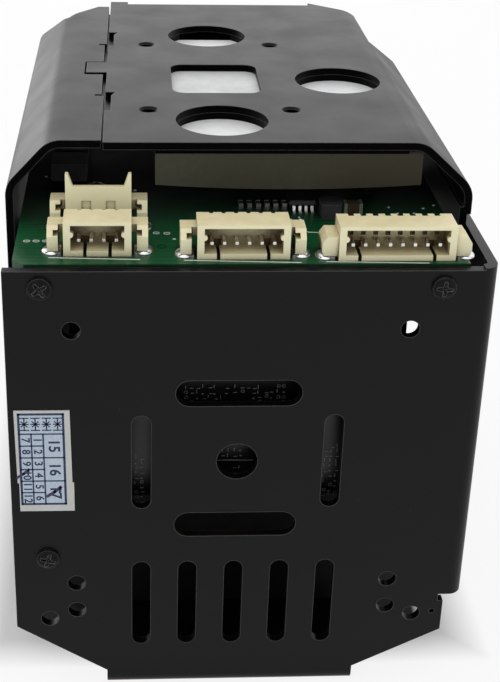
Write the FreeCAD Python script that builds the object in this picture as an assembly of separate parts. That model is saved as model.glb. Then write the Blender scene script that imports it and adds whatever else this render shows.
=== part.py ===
"""Zoom camera module for a network camera.

A folded black sheet-metal case carries a zoom lens block, two circuit boards and four wafer
connectors. X runs to the right seen from the slotted back plate, Y runs from the back plate to
the lens, and Z is up. The origin is the middle of the base's underside. Sizes are in millimetres.
"""
import FreeCAD, Part
import math
import os

os.makedirs("parts", exist_ok=True)

V = FreeCAD.Vector

# Overall sizes
nose_length = 18.0
plate_above_axis = 22.0
roof_rise = 9.4
axis_height = 29.8
fit_gap = 0.02
running_gap = 0.05
past = 1.0
no_length = 1e-6

# Chassis: back plate, right wall and base, folded from one sheet
chassis_sheet = 1.0
chassis_bend = 1.5
plate_left_inset = 0.45
plate_right_inset = 2.05
arm_boss_length = 5.5
base_half = 13.8
base_screw_y = (24.0, 64.0)
corner_left_z = 8.6
corner_right_z = 7.4
corner_meet_z = 2.3
wall_low_z = 12.2
wall_above_plate = 0.25
wall_low_length = 22.0
wall_arm_drop = 11.8
wall_arm_length = 56.0
wall_slope = 3.5
relief_width = 0.9
relief_depth = 0.6

# Back plate openings, heights counted from the lens axis or from the plate's top edge
slot_length = 13.0
slot_radius = 1.5
slot_above_axis = 8.2
slot_below_axis = 7.9
side_slot_x = 10.0
side_slot_radius = 1.0
side_slot_top = 5.6
side_slot_bottom = 5.75
centre_hole_radius = 2.15
vent_pitch = 5.0
vent_count = 5
vent_radius = 1.0
vent_top_z = 17.1
vent_bottom_z = 6.0
small_hole_radius = 0.95
inner_hole_x = 17.0
inner_hole_drop = 6.5
lower_hole_z = (14.4, 10.8)
outer_hole_x = 20.0
outer_hole_z = 9.65
pin_hole_x = 22.3
pin_hole_z = 9.9
pin_hole_radius = 0.3
plate_screw_side = 1.0
plate_screw_drop = 1.8
plate_screw_low_z = 17.8

# Small screws
screw_shank_radius = 0.6
screw_head_radius = 1.2
screw_head_height = 0.6
screw_head_round = 0.2
screw_recess_radius = 0.5
screw_recess_depth = 0.35
plate_screw_grip = 4.0
board_screw_end = 0.8
control_screw_grip = 3.0
side_screw_length = 4.5
lug_screw_length = 2.4

# Covers: left cover and top bracket, folded from a thinner sheet
cover_sheet = 0.85
cover_bend = 3.0
side_boss_length = 4.25
shoulder_width = 4.6
shoulder_drop = 5.0
seam_x = 14.0
seam_gap = 0.2
seam_widening = 0.25
lip_reach = 1.8
lip_back = 2.0
lip_end = 1.0
left_cover_rear = 11.6
left_cover_back = 3.0
left_fold_back = 7.2
left_strip_back = 2.2
left_corner_x = 15.6
left_lower_z = 9.0
left_lower_drop = 2.8
left_lower_gap = 0.9
bracket_rear = 11.0
bracket_back = 2.4
bracket_fold_back = 18.4
bracket_wall_back = 13.6
bracket_side_back = 5.0
bracket_corner_x = 14.1
bracket_wall_rise = 1.4
bracket_inset = 0.6
bracket_overhang = 0.5
bracket_lip_inset = 2.4
bracket_lip_drop = 5.5
bracket_lip_run = 3.0
bracket_lip_bend = 1.4
tab_width = 2.35
tab_start = 35.45
tab_end = 39.6
tab_near_gap = 0.85
tab_far_gap = 0.25
notch_width = 0.65
notch_flare = 0.45
notch_flare_length = 1.2
notch_spans = ((21.3, 27.8), (47.0, 53.3))
cross_cut_y = (26.7, 47.5)
cross_cut_half = 0.5
cross_cut_length = 1.0
round_hole_radius = 5.0
round_holes = ((-1.25, 18.1), (13.2, 32.6), (-1.25, 51.9))
window_left = -6.3
window_right = 3.95
window_near = 27.6
window_far = 38.8
window_corner = 1.5
tap_hole_x = (-9.1, 6.6)
tap_hole_y = (21.65, 47.65)
tap_hole_radius = 0.85
tap_hole_sink = 0.25
flange_far = 54.0
flange_low_drop = 6.8
lug_screw_y = (18.0, 48.0)
lug_screw_drop = 4.3

# Heat path under the bracket
inner_plate_sheet = 0.75
spreader_left = -8.5
spreader_near = 12.0
spreader_far = 55.6
spreader_height = 3.7
spreader_bow = 0.5
spreader_bow_rise = 0.25
spreader_bow_depth = 1.0
pad_size = 13.0

# Circuit boards
board_above_plate = 0.25
board_sheet = 0.8
board_side_gap = 0.5
board_near = 1.15
board_far = 50.0
board_corner = 1.2
control_gap = 2.0
control_sheet = 1.0
control_half = 17.3
control_below_axis = 6.1
control_top_gap = 0.6
sensor_board_half = 12.0
sensor_board_sheet = 1.0
standoff_x = 15.0
standoff_y = (21.0, 46.0)
standoff_floor = 0.5
header_half = 9.0
header_depth = 2.6
header_height = 4.0

# Wafer connectors
pin_pitch = 1.25
body_side = 1.5
ear_reach = 3.15
ear_width = 1.1
wafer_height = 3.65
wafer_depth = 3.5
wafer_wall = 0.55
wafer_roof = 0.35
wafer_floor = 0.6
wafer_back = 0.9
cavity_side = 0.8
bump_radius = 0.3
bump_height = 2.3
bump_depth = 0.7
key_width = 0.35
key_head = 0.9
key_head_length = 0.4
key_bite = 0.5
key_rise = 1.15
groove_width = {"left": 0.4, "middle": 0.4, "right": 0.6}
groove_length = {"left": 0.3, "middle": 0.3, "right": 0.55}
groove_depth = 0.5
arch_width = 0.5
arch_low = 1.7
arch_high = 2.35
arch_depth = 0.4
pin_size = 0.32
pin_setback = 0.8
pin_height = 1.4
pin_tail = 0.7
nail_sheet = 0.25
nail_width = 1.5
nail_length = 1.9
nail_front = 0.45
nail_overhang = 0.15
tongue_sheet = 0.1
tongue_margin = 0.1
tongue_near = 0.9
tongue_far = 2.2
left_connector_side = 8.4
middle_connector_x = 0.15
right_connector_side = 7.3
connector_near = {"left": 3.0, "middle": 2.2, "right": 1.75}
left_pins = 4
middle_pins = 6
right_pins = 8
rear_near = 9.0
rear_depth = 3.3
rear_height = 5.05
rear_horn = 6.4
rear_horn_depth = 0.8
rear_horn_foot = 0.75
rear_horn_tip = 0.3
rear_back_drop = 1.45
rear_ear_height = 3.2
rear_pins = 4
rear_floor = 1.0
rear_key_width = 1.0
rear_key_low = 2.55
rear_key_high = 3.5
rear_key_depth = 0.2
rear_pin_height = 3.2
rear_nail_front = 0.5

# Ears of the connectors, counted from each housing's front face and from the board
loop_front = 0.5
loop_slope = 0.8
loop_shoulder = 1.9
loop_top = 2.8
bridge_front = 1.7
pocket_side = 0.6
pocket_width = 0.6
pocket_low = 1.95
pocket_high = 2.45
pocket_depth = 2.2
block_front = 0.4
block_foot_inset = 0.2
block_side_low = 0.9
block_side_high = 1.7
block_bevel = 0.5
block_top = 2.4
rear_ear_front = 0.4
rear_ear_slope = 0.5
rear_ear_shoulder = 2.0
rear_ear_back = 0.2
rear_bridge_front = 1.3
rear_pocket_low = 2.25
rear_pocket_high = 2.8

# Chips and small parts on the network board, as length and width across X and Y
network_chip_size = 11.0
network_chip_height = 1.2
network_chip_x = 5.5
network_chip_y = 30.0
driver_chip_x = 7.5
driver_chip_y = 16.5
driver_chip_size = 3.0
driver_chip_height = 1.0
driver_leg_pitch = 0.65
driver_leg_width = 0.3
driver_leg_length = 0.95
driver_leg_sheet = 0.25
driver_chip_lift = 0.1
driver_legs = 4
inductor_size = 4.0
inductor_height = 2.0
inductor_places = ((-18.0, 25.5), (-18.0, 31.5))
choke_place = (10.3, 13.65)
choke_length = 2.3
choke_width = 2.5
choke_height = 1.6
choke_round = 0.6
capacitor_length = 2.0
capacitor_width = 1.2
capacitor_height = 1.4
capacitor_places = ((12.75, 13.9), (14.5, 34.5), (17.6, 34.5), (-4.0, 44.0))
resistor_length = 1.0
resistor_width = 0.5
resistor_height = 0.35
resistor_row_x = 0.9
resistor_row_y = 16.4
resistor_pitch = 0.95
resistor_count = 6
crystal_length = 3.2
crystal_width = 2.5
crystal_height = 0.8
crystal_place = (15.5, 40.0)

# Zoom lens block
housing_half = 19.0
housing_near = 17.0
housing_wall = 1.8
housing_edge = 1.5
housing_mouth = 14.0
front_wall = 2.0
board_clearance = 3.2
frame_depth = 3.5
frame_window = 6.0
frame_window_lip = 1.0
frame_overlap = 1.0
sensor_clearance = 0.2
barrel_radius = 17.5
barrel_wall = 3.0
ring_radius = 18.4
ring_depth = 3.0
ring_mouth = 12.6
ring_flare = 1.4
ring_chamfer = 0.8
front_lens_depth = 5.0
front_lens_bulge = 2.0
front_lens_setback = 1.5
rod_radius = 1.0
rod_side_gap = 1.2
rod_top_gap = 1.25
rod_motor_gap = 2.7
rod_seat = 1.2
sleeve_radius = 2.5
screw_x = 9.0
screw_z = 7.3
lead_radius = 1.0
motor_radius = 4.5
motor_length = 10.0
screw_end_inset = 1.0
screw_clearance = 0.3
carriage_radius = 11.0
carriage_depth = 6.0
nut_radius = 2.2
nut_arm_half = 1.6
nut_inset = 1.0
group_lens_seat = 1.5
group_lens_depth = 2.0
group_lens_bulge = 1.0
zoom_lens_radius = 8.0
focus_lens_radius = 6.5
focus_back_room = 13.0
focus_front_room = 7.0
zoom_back_room = 11.5
zoom_front_room = 7.0
relay_depth = 2.5
relay_lens_radius = 7.0
zoom_motor_gap = 3.0
focus_motor_gap = 2.5
saddle_height = 1.6
saddle_half = 3.0
root_depth = 0.5
boss_radius = 2.2
side_boss_y = (30.0, 60.0)
arm_boss_y = 48.0
arm_boss_drop = 9.3

# Filter slide and image sensor
filter_size = 8.0
filter_frame = 1.0
filter_travel = 9.0
filter_thick = 0.8
filter_glass = 0.5
filter_setback = 1.65
filter_play = 0.1
channel_end_gap = 1.0
sensor_size = 10.0
sensor_height = 1.2
actuator_width = 5.5
actuator_height = 8.0
actuator_depth = 4.0
actuator_x = 13.0
actuator_above_axis = 2.0
spacer_x = 15.0
spacer_below_axis = 2.8
spacer_above_axis = 16.7
spacer_radius = 1.5
spacer_floor = 2.0
post_half = 1.2
post_hole_depth = 5.0
ear_half = 2.0

# Ribbon from the sensor board to the control board
ribbon_half = 4.0
ribbon_sheet = 0.2
socket_height = 2.0
socket_depth = 1.2
socket_below_axis = 2.3
socket_side = 0.8
ribbon_drop = 3.0

# Paper date label on the back plate
label_left_inset = 0.75
label_width = 5.7
label_above_axis = 6.4
label_below_axis = 5.85
label_sheet = 0.12

# Places and sizes worked out from those above
plate_height = axis_height + plate_above_axis
focus_rest = housing_near + focus_back_room
relay_rest = focus_rest + carriage_depth + focus_front_room
zoom_rest = relay_rest + relay_depth + zoom_back_room
base_length = zoom_rest + carriage_depth + zoom_front_room + front_wall
module_length = base_length + nose_length
zoom_motor_near = relay_rest - motor_length - zoom_motor_gap
focus_motor_near = relay_rest + relay_depth + focus_motor_gap
left_cover_far = base_length - left_cover_back
left_fold_far = left_cover_far - left_fold_back
left_strip_far = left_cover_far - left_strip_back
bracket_far = base_length - bracket_back
bracket_fold_far = bracket_far - bracket_fold_back
bracket_wall_far = bracket_far - bracket_wall_back
bracket_side_far = bracket_far - bracket_side_back
cover_outside = housing_half + side_boss_length + cover_sheet
plate_left = cover_outside - plate_left_inset
board_half = cover_outside - cover_sheet - board_side_gap
wall_outside = housing_half + arm_boss_length + chassis_sheet
bracket_outside = wall_outside - bracket_inset
plate_right = wall_outside - plate_right_inset
plate_screw_x = housing_half + plate_screw_side
fold_half = cover_outside - shoulder_width
spreader_right = fold_half
label_left = label_left_inset - plate_left
connector_x = {
    "left": left_connector_side - board_half,
    "middle": middle_connector_x,
    "right": board_half - right_connector_side,
}
connector_pin_count = {"left": left_pins, "middle": middle_pins, "right": right_pins}
wall_arm_z = plate_height - wall_arm_drop
flange_low_z = plate_height - flange_low_drop
lug_screw_z = plate_height - lug_screw_drop
arm_boss_z = plate_height - arm_boss_drop
control_low_z = axis_height - control_below_axis
socket_z = axis_height - socket_below_axis
screw_hole_radius = screw_shank_radius + fit_gap
rear = -module_length / 2
plate_front = rear + chassis_sheet
roof_z = plate_height + roof_rise
roof_under = roof_z - cover_sheet
board_top = plate_height + board_above_plate
board_under = board_top - board_sheet
inner_plate_under = roof_under - inner_plate_sheet
spreader_under = inner_plate_under - spreader_height
control_rear = plate_front + control_gap
control_front = control_rear + control_sheet
frame_front = rear + housing_near
frame_rear = frame_front - frame_depth
housing_top = board_under - board_clearance
housing_low = chassis_sheet
rod_x = housing_half - housing_wall - sleeve_radius - rod_side_gap
rod_high_z = housing_top - housing_wall - sleeve_radius - rod_top_gap
rod_low_z = screw_z + motor_radius + sleeve_radius + rod_motor_gap
rod_places = ((-rod_x, rod_high_z), (rod_x, rod_low_z))
housing_front = rear + base_length
sensor_rear = frame_rear - sensor_board_sheet
ring_rear = rear + module_length - ring_depth
mouth_z = housing_low + housing_wall
ear_low = board_top + nail_sheet + tongue_sheet


def box(x0, x1, y0, y1, z0, z1):
    return Part.makeBox(x1 - x0, y1 - y0, z1 - z0, V(x0, y0, z0))


def along_x(y, z, radius, x0, x1):
    return Part.makeCylinder(radius, x1 - x0, V(x0, y, z), V(1, 0, 0))


def along_y(x, z, radius, y0, y1):
    return Part.makeCylinder(radius, y1 - y0, V(x, y0, z), V(0, 1, 0))


def along_z(x, y, radius, z0, z1):
    return Part.makeCylinder(radius, z1 - z0, V(x, y, z0), V(0, 0, 1))


def polygon(points):
    return Part.Face(Part.makePolygon(points + [points[0]]))


def prism_x(points, x0, x1):
    return polygon([V(x0, y, z) for y, z in points]).extrude(V(x1 - x0, 0, 0))


def prism_y(points, y0, y1):
    return polygon([V(x, y0, z) for x, z in points]).extrude(V(0, y1 - y0, 0))


def prism_z(points, z0, z1):
    return polygon([V(x, y, z0) for x, y in points]).extrude(V(0, 0, z1 - z0))


def fuse(shapes):
    whole = shapes[0]
    for shape in shapes[1:]:
        whole = whole.fuse(shape)
    return whole.removeSplitter()


def cut(shape, tools):
    for tool in tools:
        shape = shape.cut(tool)
    return shape


def slot_y(x0, z0, x1, z1, radius, y0, y1):
    """Round-ended slot through Y, from one end's centre to the other's."""
    ends = [along_y(x0, z0, radius, y0, y1), along_y(x1, z1, radius, y0, y1)]
    if x0 == x1:
        middle = box(x0 - radius, x0 + radius, y0, y1, min(z0, z1), max(z0, z1))
    else:
        middle = box(min(x0, x1), max(x0, x1), y0, y1, z0 - radius, z0 + radius)
    return fuse([middle] + ends)


def bar_y(p, q, half, y0, y1):
    """Straight bar across Y from point p to point q in the XZ plane."""
    length = math.hypot(q[0] - p[0], q[1] - p[1])
    nx = -(q[1] - p[1]) / length * half
    nz = (q[0] - p[0]) / length * half
    one_side = [(p[0] + nx, p[1] + nz), (q[0] + nx, q[1] + nz)]
    other_side = [(q[0] - nx, q[1] - nz), (p[0] - nx, p[1] - nz)]
    return prism_y(one_side + other_side, y0, y1)


def shifted(points, distance):
    """The run of points moved sideways by a distance, with its corners kept sharp."""
    lines = []
    for (x0, z0), (x1, z1) in zip(points, points[1:]):
        length = math.hypot(x1 - x0, z1 - z0)
        nx = -(z1 - z0) / length * distance
        nz = (x1 - x0) / length * distance
        lines.append(((x0 + nx, z0 + nz), (x1 + nx, z1 + nz)))
    moved = [lines[0][0]]
    for (a, b), (c, d) in zip(lines, lines[1:]):
        ux, uz = b[0] - a[0], b[1] - a[1]
        wx, wz = d[0] - c[0], d[1] - c[1]
        t = ((c[0] - a[0]) * wz - (c[1] - a[1]) * wx) / (ux * wz - uz * wx)
        moved.append((a[0] + ux * t, a[1] + uz * t))
    moved.append(lines[-1][1])
    return moved


def straight(start, end, place):
    """The edge between two points, or none where an arc already reaches the end."""
    if math.hypot(end[0] - start[0], end[1] - start[1]) < no_length:
        return []
    return [Part.LineSegment(place(*start), place(*end)).toShape()]


def rounded_edges(points, radius, place):
    """Edges of a run of points, with an arc of one radius at each inner corner."""
    edges = []
    start = points[0]
    for before, corner, after in zip(points, points[1:], points[2:]):
        ax, az = before[0] - corner[0], before[1] - corner[1]
        bx, bz = after[0] - corner[0], after[1] - corner[1]
        a_len, b_len = math.hypot(ax, az), math.hypot(bx, bz)
        ax, az, bx, bz = ax / a_len, az / a_len, bx / b_len, bz / b_len
        half_angle = math.acos(max(-1.0, min(1.0, ax * bx + az * bz))) / 2
        back = radius / math.tan(half_angle)
        reach = radius / math.sin(half_angle) - radius
        mx, mz = ax + bx, az + bz
        m_len = math.hypot(mx, mz)
        first = (corner[0] + ax * back, corner[1] + az * back)
        middle = (corner[0] + mx / m_len * reach, corner[1] + mz / m_len * reach)
        last = (corner[0] + bx * back, corner[1] + bz * back)
        edges += straight(start, first, place)
        edges.append(Part.Arc(place(*first), place(*middle), place(*last)).toShape())
        start = last
    return edges + straight(start, points[-1], place)


def folded(points, thickness, bend, place, direction):
    """Folded strip: points run along its outer face, with the sheet on the left of the run."""
    inner = shifted(points, thickness)
    edges = rounded_edges(points, bend, place)
    edges += straight(points[-1], inner[-1], place)
    edges += rounded_edges(inner, bend - thickness, place)
    edges += straight(inner[0], points[0], place)
    wire = Part.Wire(Part.__sortEdges__(edges))
    return Part.Face(wire).extrude(direction)


def screw(point, axis, length):
    """Pan-head screw: its head's underside sits at the point and its shank runs along the axis."""
    back = V(-axis.x, -axis.y, -axis.z)
    head = Part.makeCylinder(screw_head_radius, screw_head_height, point, back)
    rings = [edge for edge in head.Edges if edge.Closed]
    rim = [edge for edge in rings if edge.BoundBox.Center.distanceToPoint(point) > screw_head_height / 2]
    head = head.makeFillet(screw_head_round, rim)
    top = point + back * (screw_head_height - screw_recess_depth)
    recess = Part.makeCylinder(screw_recess_radius, screw_recess_depth, top, back)
    shank = Part.makeCylinder(screw_shank_radius, length, point, axis)
    return head.cut(recess).fuse(shank).removeSplitter()


def plate_screw_places():
    high = plate_height - plate_screw_drop
    return [(-plate_screw_x, high), (plate_screw_x, high), (-plate_screw_x, plate_screw_low_z)]


def spacer_places():
    heights = (axis_height - spacer_below_axis, axis_height + spacer_above_axis)
    return [(x, z) for x in (-spacer_x, spacer_x) for z in heights]


def plate_openings():
    """Everything that is punched through the back plate."""
    y0, y1 = rear - past, plate_front + past
    tools = []
    half = slot_length / 2 - slot_radius
    for z in (axis_height + slot_above_axis, axis_height - slot_below_axis):
        tools.append(slot_y(-half, z, half, z, slot_radius, y0, y1))
    for x in (-side_slot_x, side_slot_x):
        top = axis_height + side_slot_top - side_slot_radius
        bottom = axis_height - side_slot_bottom + side_slot_radius
        tools.append(slot_y(x, bottom, x, top, side_slot_radius, y0, y1))
    tools.append(along_y(0, axis_height, centre_hole_radius, y0, y1))
    for i in range(vent_count):
        x = (i - (vent_count - 1) / 2) * vent_pitch
        low, high = vent_bottom_z + vent_radius, vent_top_z - vent_radius
        tools.append(slot_y(x, low, x, high, vent_radius, y0, y1))
    for side in (-1, 1):
        for z in (plate_height - inner_hole_drop,) + lower_hole_z:
            tools.append(along_y(side * inner_hole_x, z, small_hole_radius, y0, y1))
        tools.append(along_y(side * outer_hole_x, outer_hole_z, small_hole_radius, y0, y1))
    tools.append(along_y(pin_hole_x, pin_hole_z, pin_hole_radius, y0, y1))
    for x, z in plate_screw_places():
        tools.append(along_y(x, z, screw_hole_radius, y0, y1))
    return tools


def chassis():
    """Back plate, right wall and base, folded from one sheet."""
    wall_start = wall_outside - chassis_bend
    plate_points = [
        (-plate_left, plate_height),
        (-plate_left, corner_left_z),
        (-base_half, corner_meet_z),
        (-base_half, chassis_bend),
        (base_half, chassis_bend),
        (base_half, corner_meet_z),
        (plate_right, corner_right_z),
        (plate_right, wall_low_z - relief_width),
        (plate_right - relief_depth, wall_low_z - relief_width),
        (plate_right - relief_depth, wall_low_z),
        (wall_start, wall_low_z),
        (wall_start, plate_height),
    ]
    plate = prism_y(plate_points, rear, plate_front)
    low = rear + wall_low_length
    arm = rear + wall_arm_length
    wall_run = [(wall_start, rear), (wall_outside, rear), (wall_outside, arm)]
    wall_top = plate_height + wall_above_plate
    wall = folded(wall_run, chassis_sheet, chassis_bend, lambda x, y: V(x, y, wall_low_z),
                  V(0, 0, wall_top - wall_low_z))
    cut_away = [
        (low, wall_low_z - past),
        (low, wall_low_z),
        (low + wall_slope, wall_low_z + wall_slope),
        (low + wall_slope, wall_arm_z - wall_slope),
        (low + 2 * wall_slope, wall_arm_z),
        (arm + past, wall_arm_z),
        (arm + past, wall_low_z - past),
    ]
    wall = wall.cut(prism_x(cut_away, plate_right, wall_outside + past))
    base_run = [(rear + base_length, 0), (rear, 0), (rear, chassis_bend)]
    base = folded([(y, z) for y, z in reversed(base_run)], chassis_sheet, chassis_bend,
                  lambda y, z: V(-base_half, y, z), V(2 * base_half, 0, 0))
    shape = cut(fuse([plate, wall, base]), plate_openings())
    tools = [base_screw_hole(x, y) for x, y in base_screw_places()]
    for y in lug_screw_y:
        tools.append(along_x(rear + y, lug_screw_z, screw_hole_radius, plate_right, wall_outside + past))
    tools.append(along_x(rear + arm_boss_y, arm_boss_z, screw_hole_radius,
                         plate_right, wall_outside + past))
    return cut(shape, tools)


def base_screw_places():
    return [(x, rear + y) for x in (-screw_x, screw_x) for y in base_screw_y]


def base_screw_hole(x, y):
    """Clearance for a flush screw through the base: its head fills the sheet."""
    return along_z(x, y, screw_head_radius + fit_gap, -past, chassis_sheet)


def base_screw(x, y):
    head = along_z(x, y, screw_head_radius, 0, chassis_sheet)
    recess = along_z(x, y, screw_recess_radius, 0, screw_recess_depth)
    shank = along_z(x, y, screw_shank_radius, chassis_sheet, mouth_z)
    return head.cut(recess).fuse(shank).removeSplitter()


def cover_profile_z():
    return roof_z - shoulder_drop


def left_cover():
    """Left strip of the roof, its sloping shoulder, the left wall and the lower slope."""
    y0, y1 = rear + left_cover_rear, rear + left_cover_far
    edge = -(seam_x + seam_gap / 2)
    run = [
        (edge, roof_z),
        (-fold_half, roof_z),
        (-cover_outside, cover_profile_z()),
        (-cover_outside, left_lower_z),
        (-housing_half - left_lower_gap, left_lower_z - left_lower_drop),
    ]
    shape = folded(run, cover_sheet, cover_bend, lambda x, z: V(x, y0, z), V(0, y1 - y0, 0))
    notch = box(-(seam_x + tab_width + seam_gap), 0, rear + tab_start - tab_near_gap,
                rear + tab_end + tab_far_gap, roof_under - past, roof_z + past)
    widening = box(edge - seam_widening, edge + past, rear + cross_cut_y[0], rear + cross_cut_y[1],
                   roof_under - past, roof_z + past)
    far = [
        (-fold_half, rear + left_fold_far),
        (-left_corner_x, rear + left_strip_far),
        (edge + past, rear + left_strip_far),
        (edge + past, y1 + past),
        (-cover_outside - past, y1 + past),
        (-cover_outside - past, y1),
        (-cover_outside, y1),
    ]
    corner = prism_z(far, cover_profile_z() - cover_sheet, roof_z + past)
    tools = [notch, widening, corner]
    for y in cross_cut_y:
        tools.append(box(edge - cross_cut_length, edge + past, rear + y - cross_cut_half / 2,
                         rear + y + cross_cut_half / 2, roof_under - past, roof_z + past))
    for y in side_boss_y:
        tools.append(along_x(rear + y, axis_height, screw_hole_radius,
                             -cover_outside - past, -housing_half))
    shape = cut(shape, tools)
    lip = box(-seam_x - tab_width - lip_reach, -seam_x + lip_reach, y0 + lip_back,
              rear + left_strip_far - lip_end, roof_under - cover_sheet, roof_under)
    return fuse([shape, lip])


def round_openings(z0, z1):
    return [along_z(x, rear + y, round_hole_radius, z0, z1) for x, y in round_holes]


def tap_openings(z0, z1):
    return [along_z(x, rear + y, tap_hole_radius, z0, z1) for x in tap_hole_x for y in tap_hole_y]


def window_opening(z0, z1):
    window = box(window_left, window_right, rear + window_near, rear + window_far, z0, z1)
    upright = [edge for edge in window.Edges if edge.BoundBox.ZLength > (z1 - z0) / 2]
    return window.makeFillet(window_corner, upright)


def tap_sinks():
    return [Part.makeCone(tap_hole_radius, tap_hole_radius + tap_hole_sink, tap_hole_sink,
                          V(x, rear + y, roof_z - tap_hole_sink)) for x in tap_hole_x for y in tap_hole_y]


def edge_notch(edge, near, far):
    """Notch in the roof's left edge that flares at its far end."""
    outline = [
        (edge - past, near),
        (edge + notch_width, near),
        (edge + notch_width, far - notch_flare_length),
        (edge + notch_width + notch_flare, far),
        (edge - past, far),
    ]
    return prism_z(outline, roof_under - past, roof_z + past)


def top_bracket():
    """Roof with its openings, the right shoulder and a short wall with a flange inside the chassis wall."""
    y0, y1 = rear + bracket_rear, rear + bracket_far
    edge = -(seam_x - seam_gap / 2)
    wall_low = plate_height + bracket_wall_rise
    run = [
        (bracket_outside, wall_low),
        (bracket_outside, cover_profile_z()),
        (fold_half, roof_z),
        (edge, roof_z),
    ]
    shape = folded(run, cover_sheet, cover_bend, lambda x, z: V(x, y0, z), V(0, y1 - y0, 0))
    side_cut = [
        (fold_half + bracket_overhang, rear + bracket_fold_far),
        (bracket_outside, rear + bracket_wall_far),
        (bracket_outside + past, rear + bracket_wall_far),
        (bracket_outside + past, y1 + past),
        (bracket_corner_x, y1 + past),
        (bracket_corner_x, y1),
        (fold_half + bracket_overhang, rear + bracket_side_far),
    ]
    tools = [prism_z(side_cut, wall_low - past, roof_z + past)]
    for near, far_end in notch_spans:
        tools.append(edge_notch(edge, rear + near, rear + far_end))
    through = (roof_under - past, roof_z + past)
    tools += round_openings(*through) + tap_openings(*through) + tap_sinks() + [window_opening(*through)]
    lip_x = edge + bracket_lip_inset
    tools.append(box(lip_x, bracket_corner_x, y1 - bracket_lip_bend, y1 + past, *through))
    shape = cut(shape, tools)
    lip_run = [(y1, roof_z - bracket_lip_drop), (y1, roof_z), (y1 - bracket_lip_run, roof_z)]
    lip = folded(lip_run, cover_sheet, bracket_lip_bend, lambda y, z: V(lip_x, y, z),
                 V(bracket_corner_x - lip_x, 0, 0))
    tab = box(-(seam_x + tab_width), edge, rear + tab_start, rear + tab_end, roof_under, roof_z)
    lug_out = wall_outside - chassis_sheet
    flange = box(lug_out - cover_sheet, lug_out, y0, rear + flange_far, flange_low_z, wall_low)
    neck = box(lug_out - cover_sheet, bracket_outside - cover_sheet / 2, y0, rear + flange_far,
               wall_low, wall_low + cover_sheet)
    holes = [along_x(rear + y, lug_screw_z, screw_hole_radius, lug_out - 2 * cover_sheet, lug_out + past)
             for y in lug_screw_y]
    return fuse([shape, lip, tab, cut(flange, holes), neck])


def inner_plate():
    plate = box(spreader_left, spreader_right - cover_bend / 2, rear + spreader_near, rear + spreader_far,
                inner_plate_under, roof_under)
    return cut(plate, round_openings(inner_plate_under - past, roof_under + past)
               + tap_openings(inner_plate_under - past, roof_under + past))


def heat_spreader():
    """Block whose rear face has a bowed lower edge."""
    near = rear + spreader_near
    ends_z = spreader_under + spreader_bow_rise
    block = box(spreader_left, spreader_right, near + spreader_bow_depth, rear + spreader_far,
                spreader_under, inner_plate_under)
    low_left, low_right = V(spreader_left, near, ends_z), V(spreader_right, near, ends_z)
    low_middle = V((spreader_left + spreader_right) / 2, near, ends_z - spreader_bow)
    top_left, top_right = V(spreader_left, near, inner_plate_under), V(spreader_right, near, inner_plate_under)
    outline = Part.Wire([
        Part.Arc(low_left, low_middle, low_right).toShape(),
        Part.makeLine(low_right, top_right),
        Part.makeLine(top_right, top_left),
        Part.makeLine(top_left, low_left),
    ])
    face = Part.Face(outline).extrude(V(0, spreader_bow_depth, 0))
    return cut(fuse([face, block]), tap_openings(spreader_under - past, inner_plate_under + past))


def thermal_pad():
    x, y, half = network_chip_x, rear + network_chip_y, pad_size / 2
    return box(x - half, x + half, y - half, y + half, board_top + network_chip_height, spreader_under)


def network_board():
    near, far = rear + board_near, rear + board_far
    outline = [
        (-board_half, near + board_corner),
        (-board_half + board_corner, near),
        (board_half, near),
        (board_half, far),
        (-board_half, far),
    ]
    board = prism_z(outline, board_under, board_top)
    holes = [along_z(x, y, screw_hole_radius, board_under - past, board_top + past)
             for x, y in standoff_places()]
    return cut(board, holes)


def standoff_places():
    return [(x, rear + y) for x in (-standoff_x, standoff_x) for y in standoff_y]


def standoffs():
    posts = []
    for x, y in standoff_places():
        post = along_z(x, y, boss_radius, housing_top, board_under)
        hole = along_z(x, y, screw_hole_radius, housing_top + standoff_floor, board_under + past)
        posts.append(post.cut(hole))
    return posts


def board_screws():
    length = board_sheet + board_clearance - board_screw_end
    return [screw(V(x, y, board_top), V(0, 0, -1), length) for x, y in standoff_places()]


def control_board():
    board = box(-control_half, control_half, control_rear, control_front,
                control_low_z, board_under - control_top_gap)
    holes = [along_y(x, z, screw_hole_radius, control_rear - past, control_front + past)
             for x, z in spacer_places()]
    return cut(board, holes)


def board_header():
    """Stacking header between the control board's front face and the network board's underside."""
    return box(-header_half, header_half, control_front, control_front + header_depth,
               board_under - header_height, board_under)


def control_spacers():
    posts = []
    for x, z in spacer_places():
        post = along_y(x, z, spacer_radius, control_front, frame_rear)
        hole = along_y(x, z, screw_hole_radius, control_front - past, frame_rear - spacer_floor)
        posts.append(post.cut(hole))
    return posts


def control_screws():
    length = control_sheet + control_screw_grip
    return [screw(V(x, control_rear, z), V(0, 1, 0), length) for x, z in spacer_places()]


def half_span(pins):
    return (pins - 1) * pin_pitch / 2


def pin_xs(name):
    pins = connector_pin_count[name]
    return [connector_x[name] - half_span(pins) + i * pin_pitch for i in range(pins)]


def wafer_ear(side, near, outer, inner, bridge):
    """Side ear of a lying wafer: a post with a sloping front, bridged to the body at its rear."""
    front, far = near + loop_front, near + wafer_depth
    top = board_top + loop_top
    points = [
        (front, ear_low),
        (front, board_top + loop_shoulder),
        (front + loop_slope, top),
        (far, top),
        (far, ear_low),
    ]
    post = prism_x(points, min(outer, inner), max(outer, inner))
    link = box(min(inner, bridge), max(inner, bridge), near + bridge_front, far,
               board_top + loop_shoulder, top)
    return fuse([post, link]).cut(ear_pocket(side, near, outer, pocket_low, pocket_high))


def ear_pocket(side, near, outer, low, high):
    """Square pocket in an ear's front, beside the body."""
    start, end = outer - side * pocket_side, outer - side * (pocket_side + pocket_width)
    return box(min(start, end), max(start, end), near - past, near + pocket_depth,
               board_top + low, board_top + high)


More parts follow.
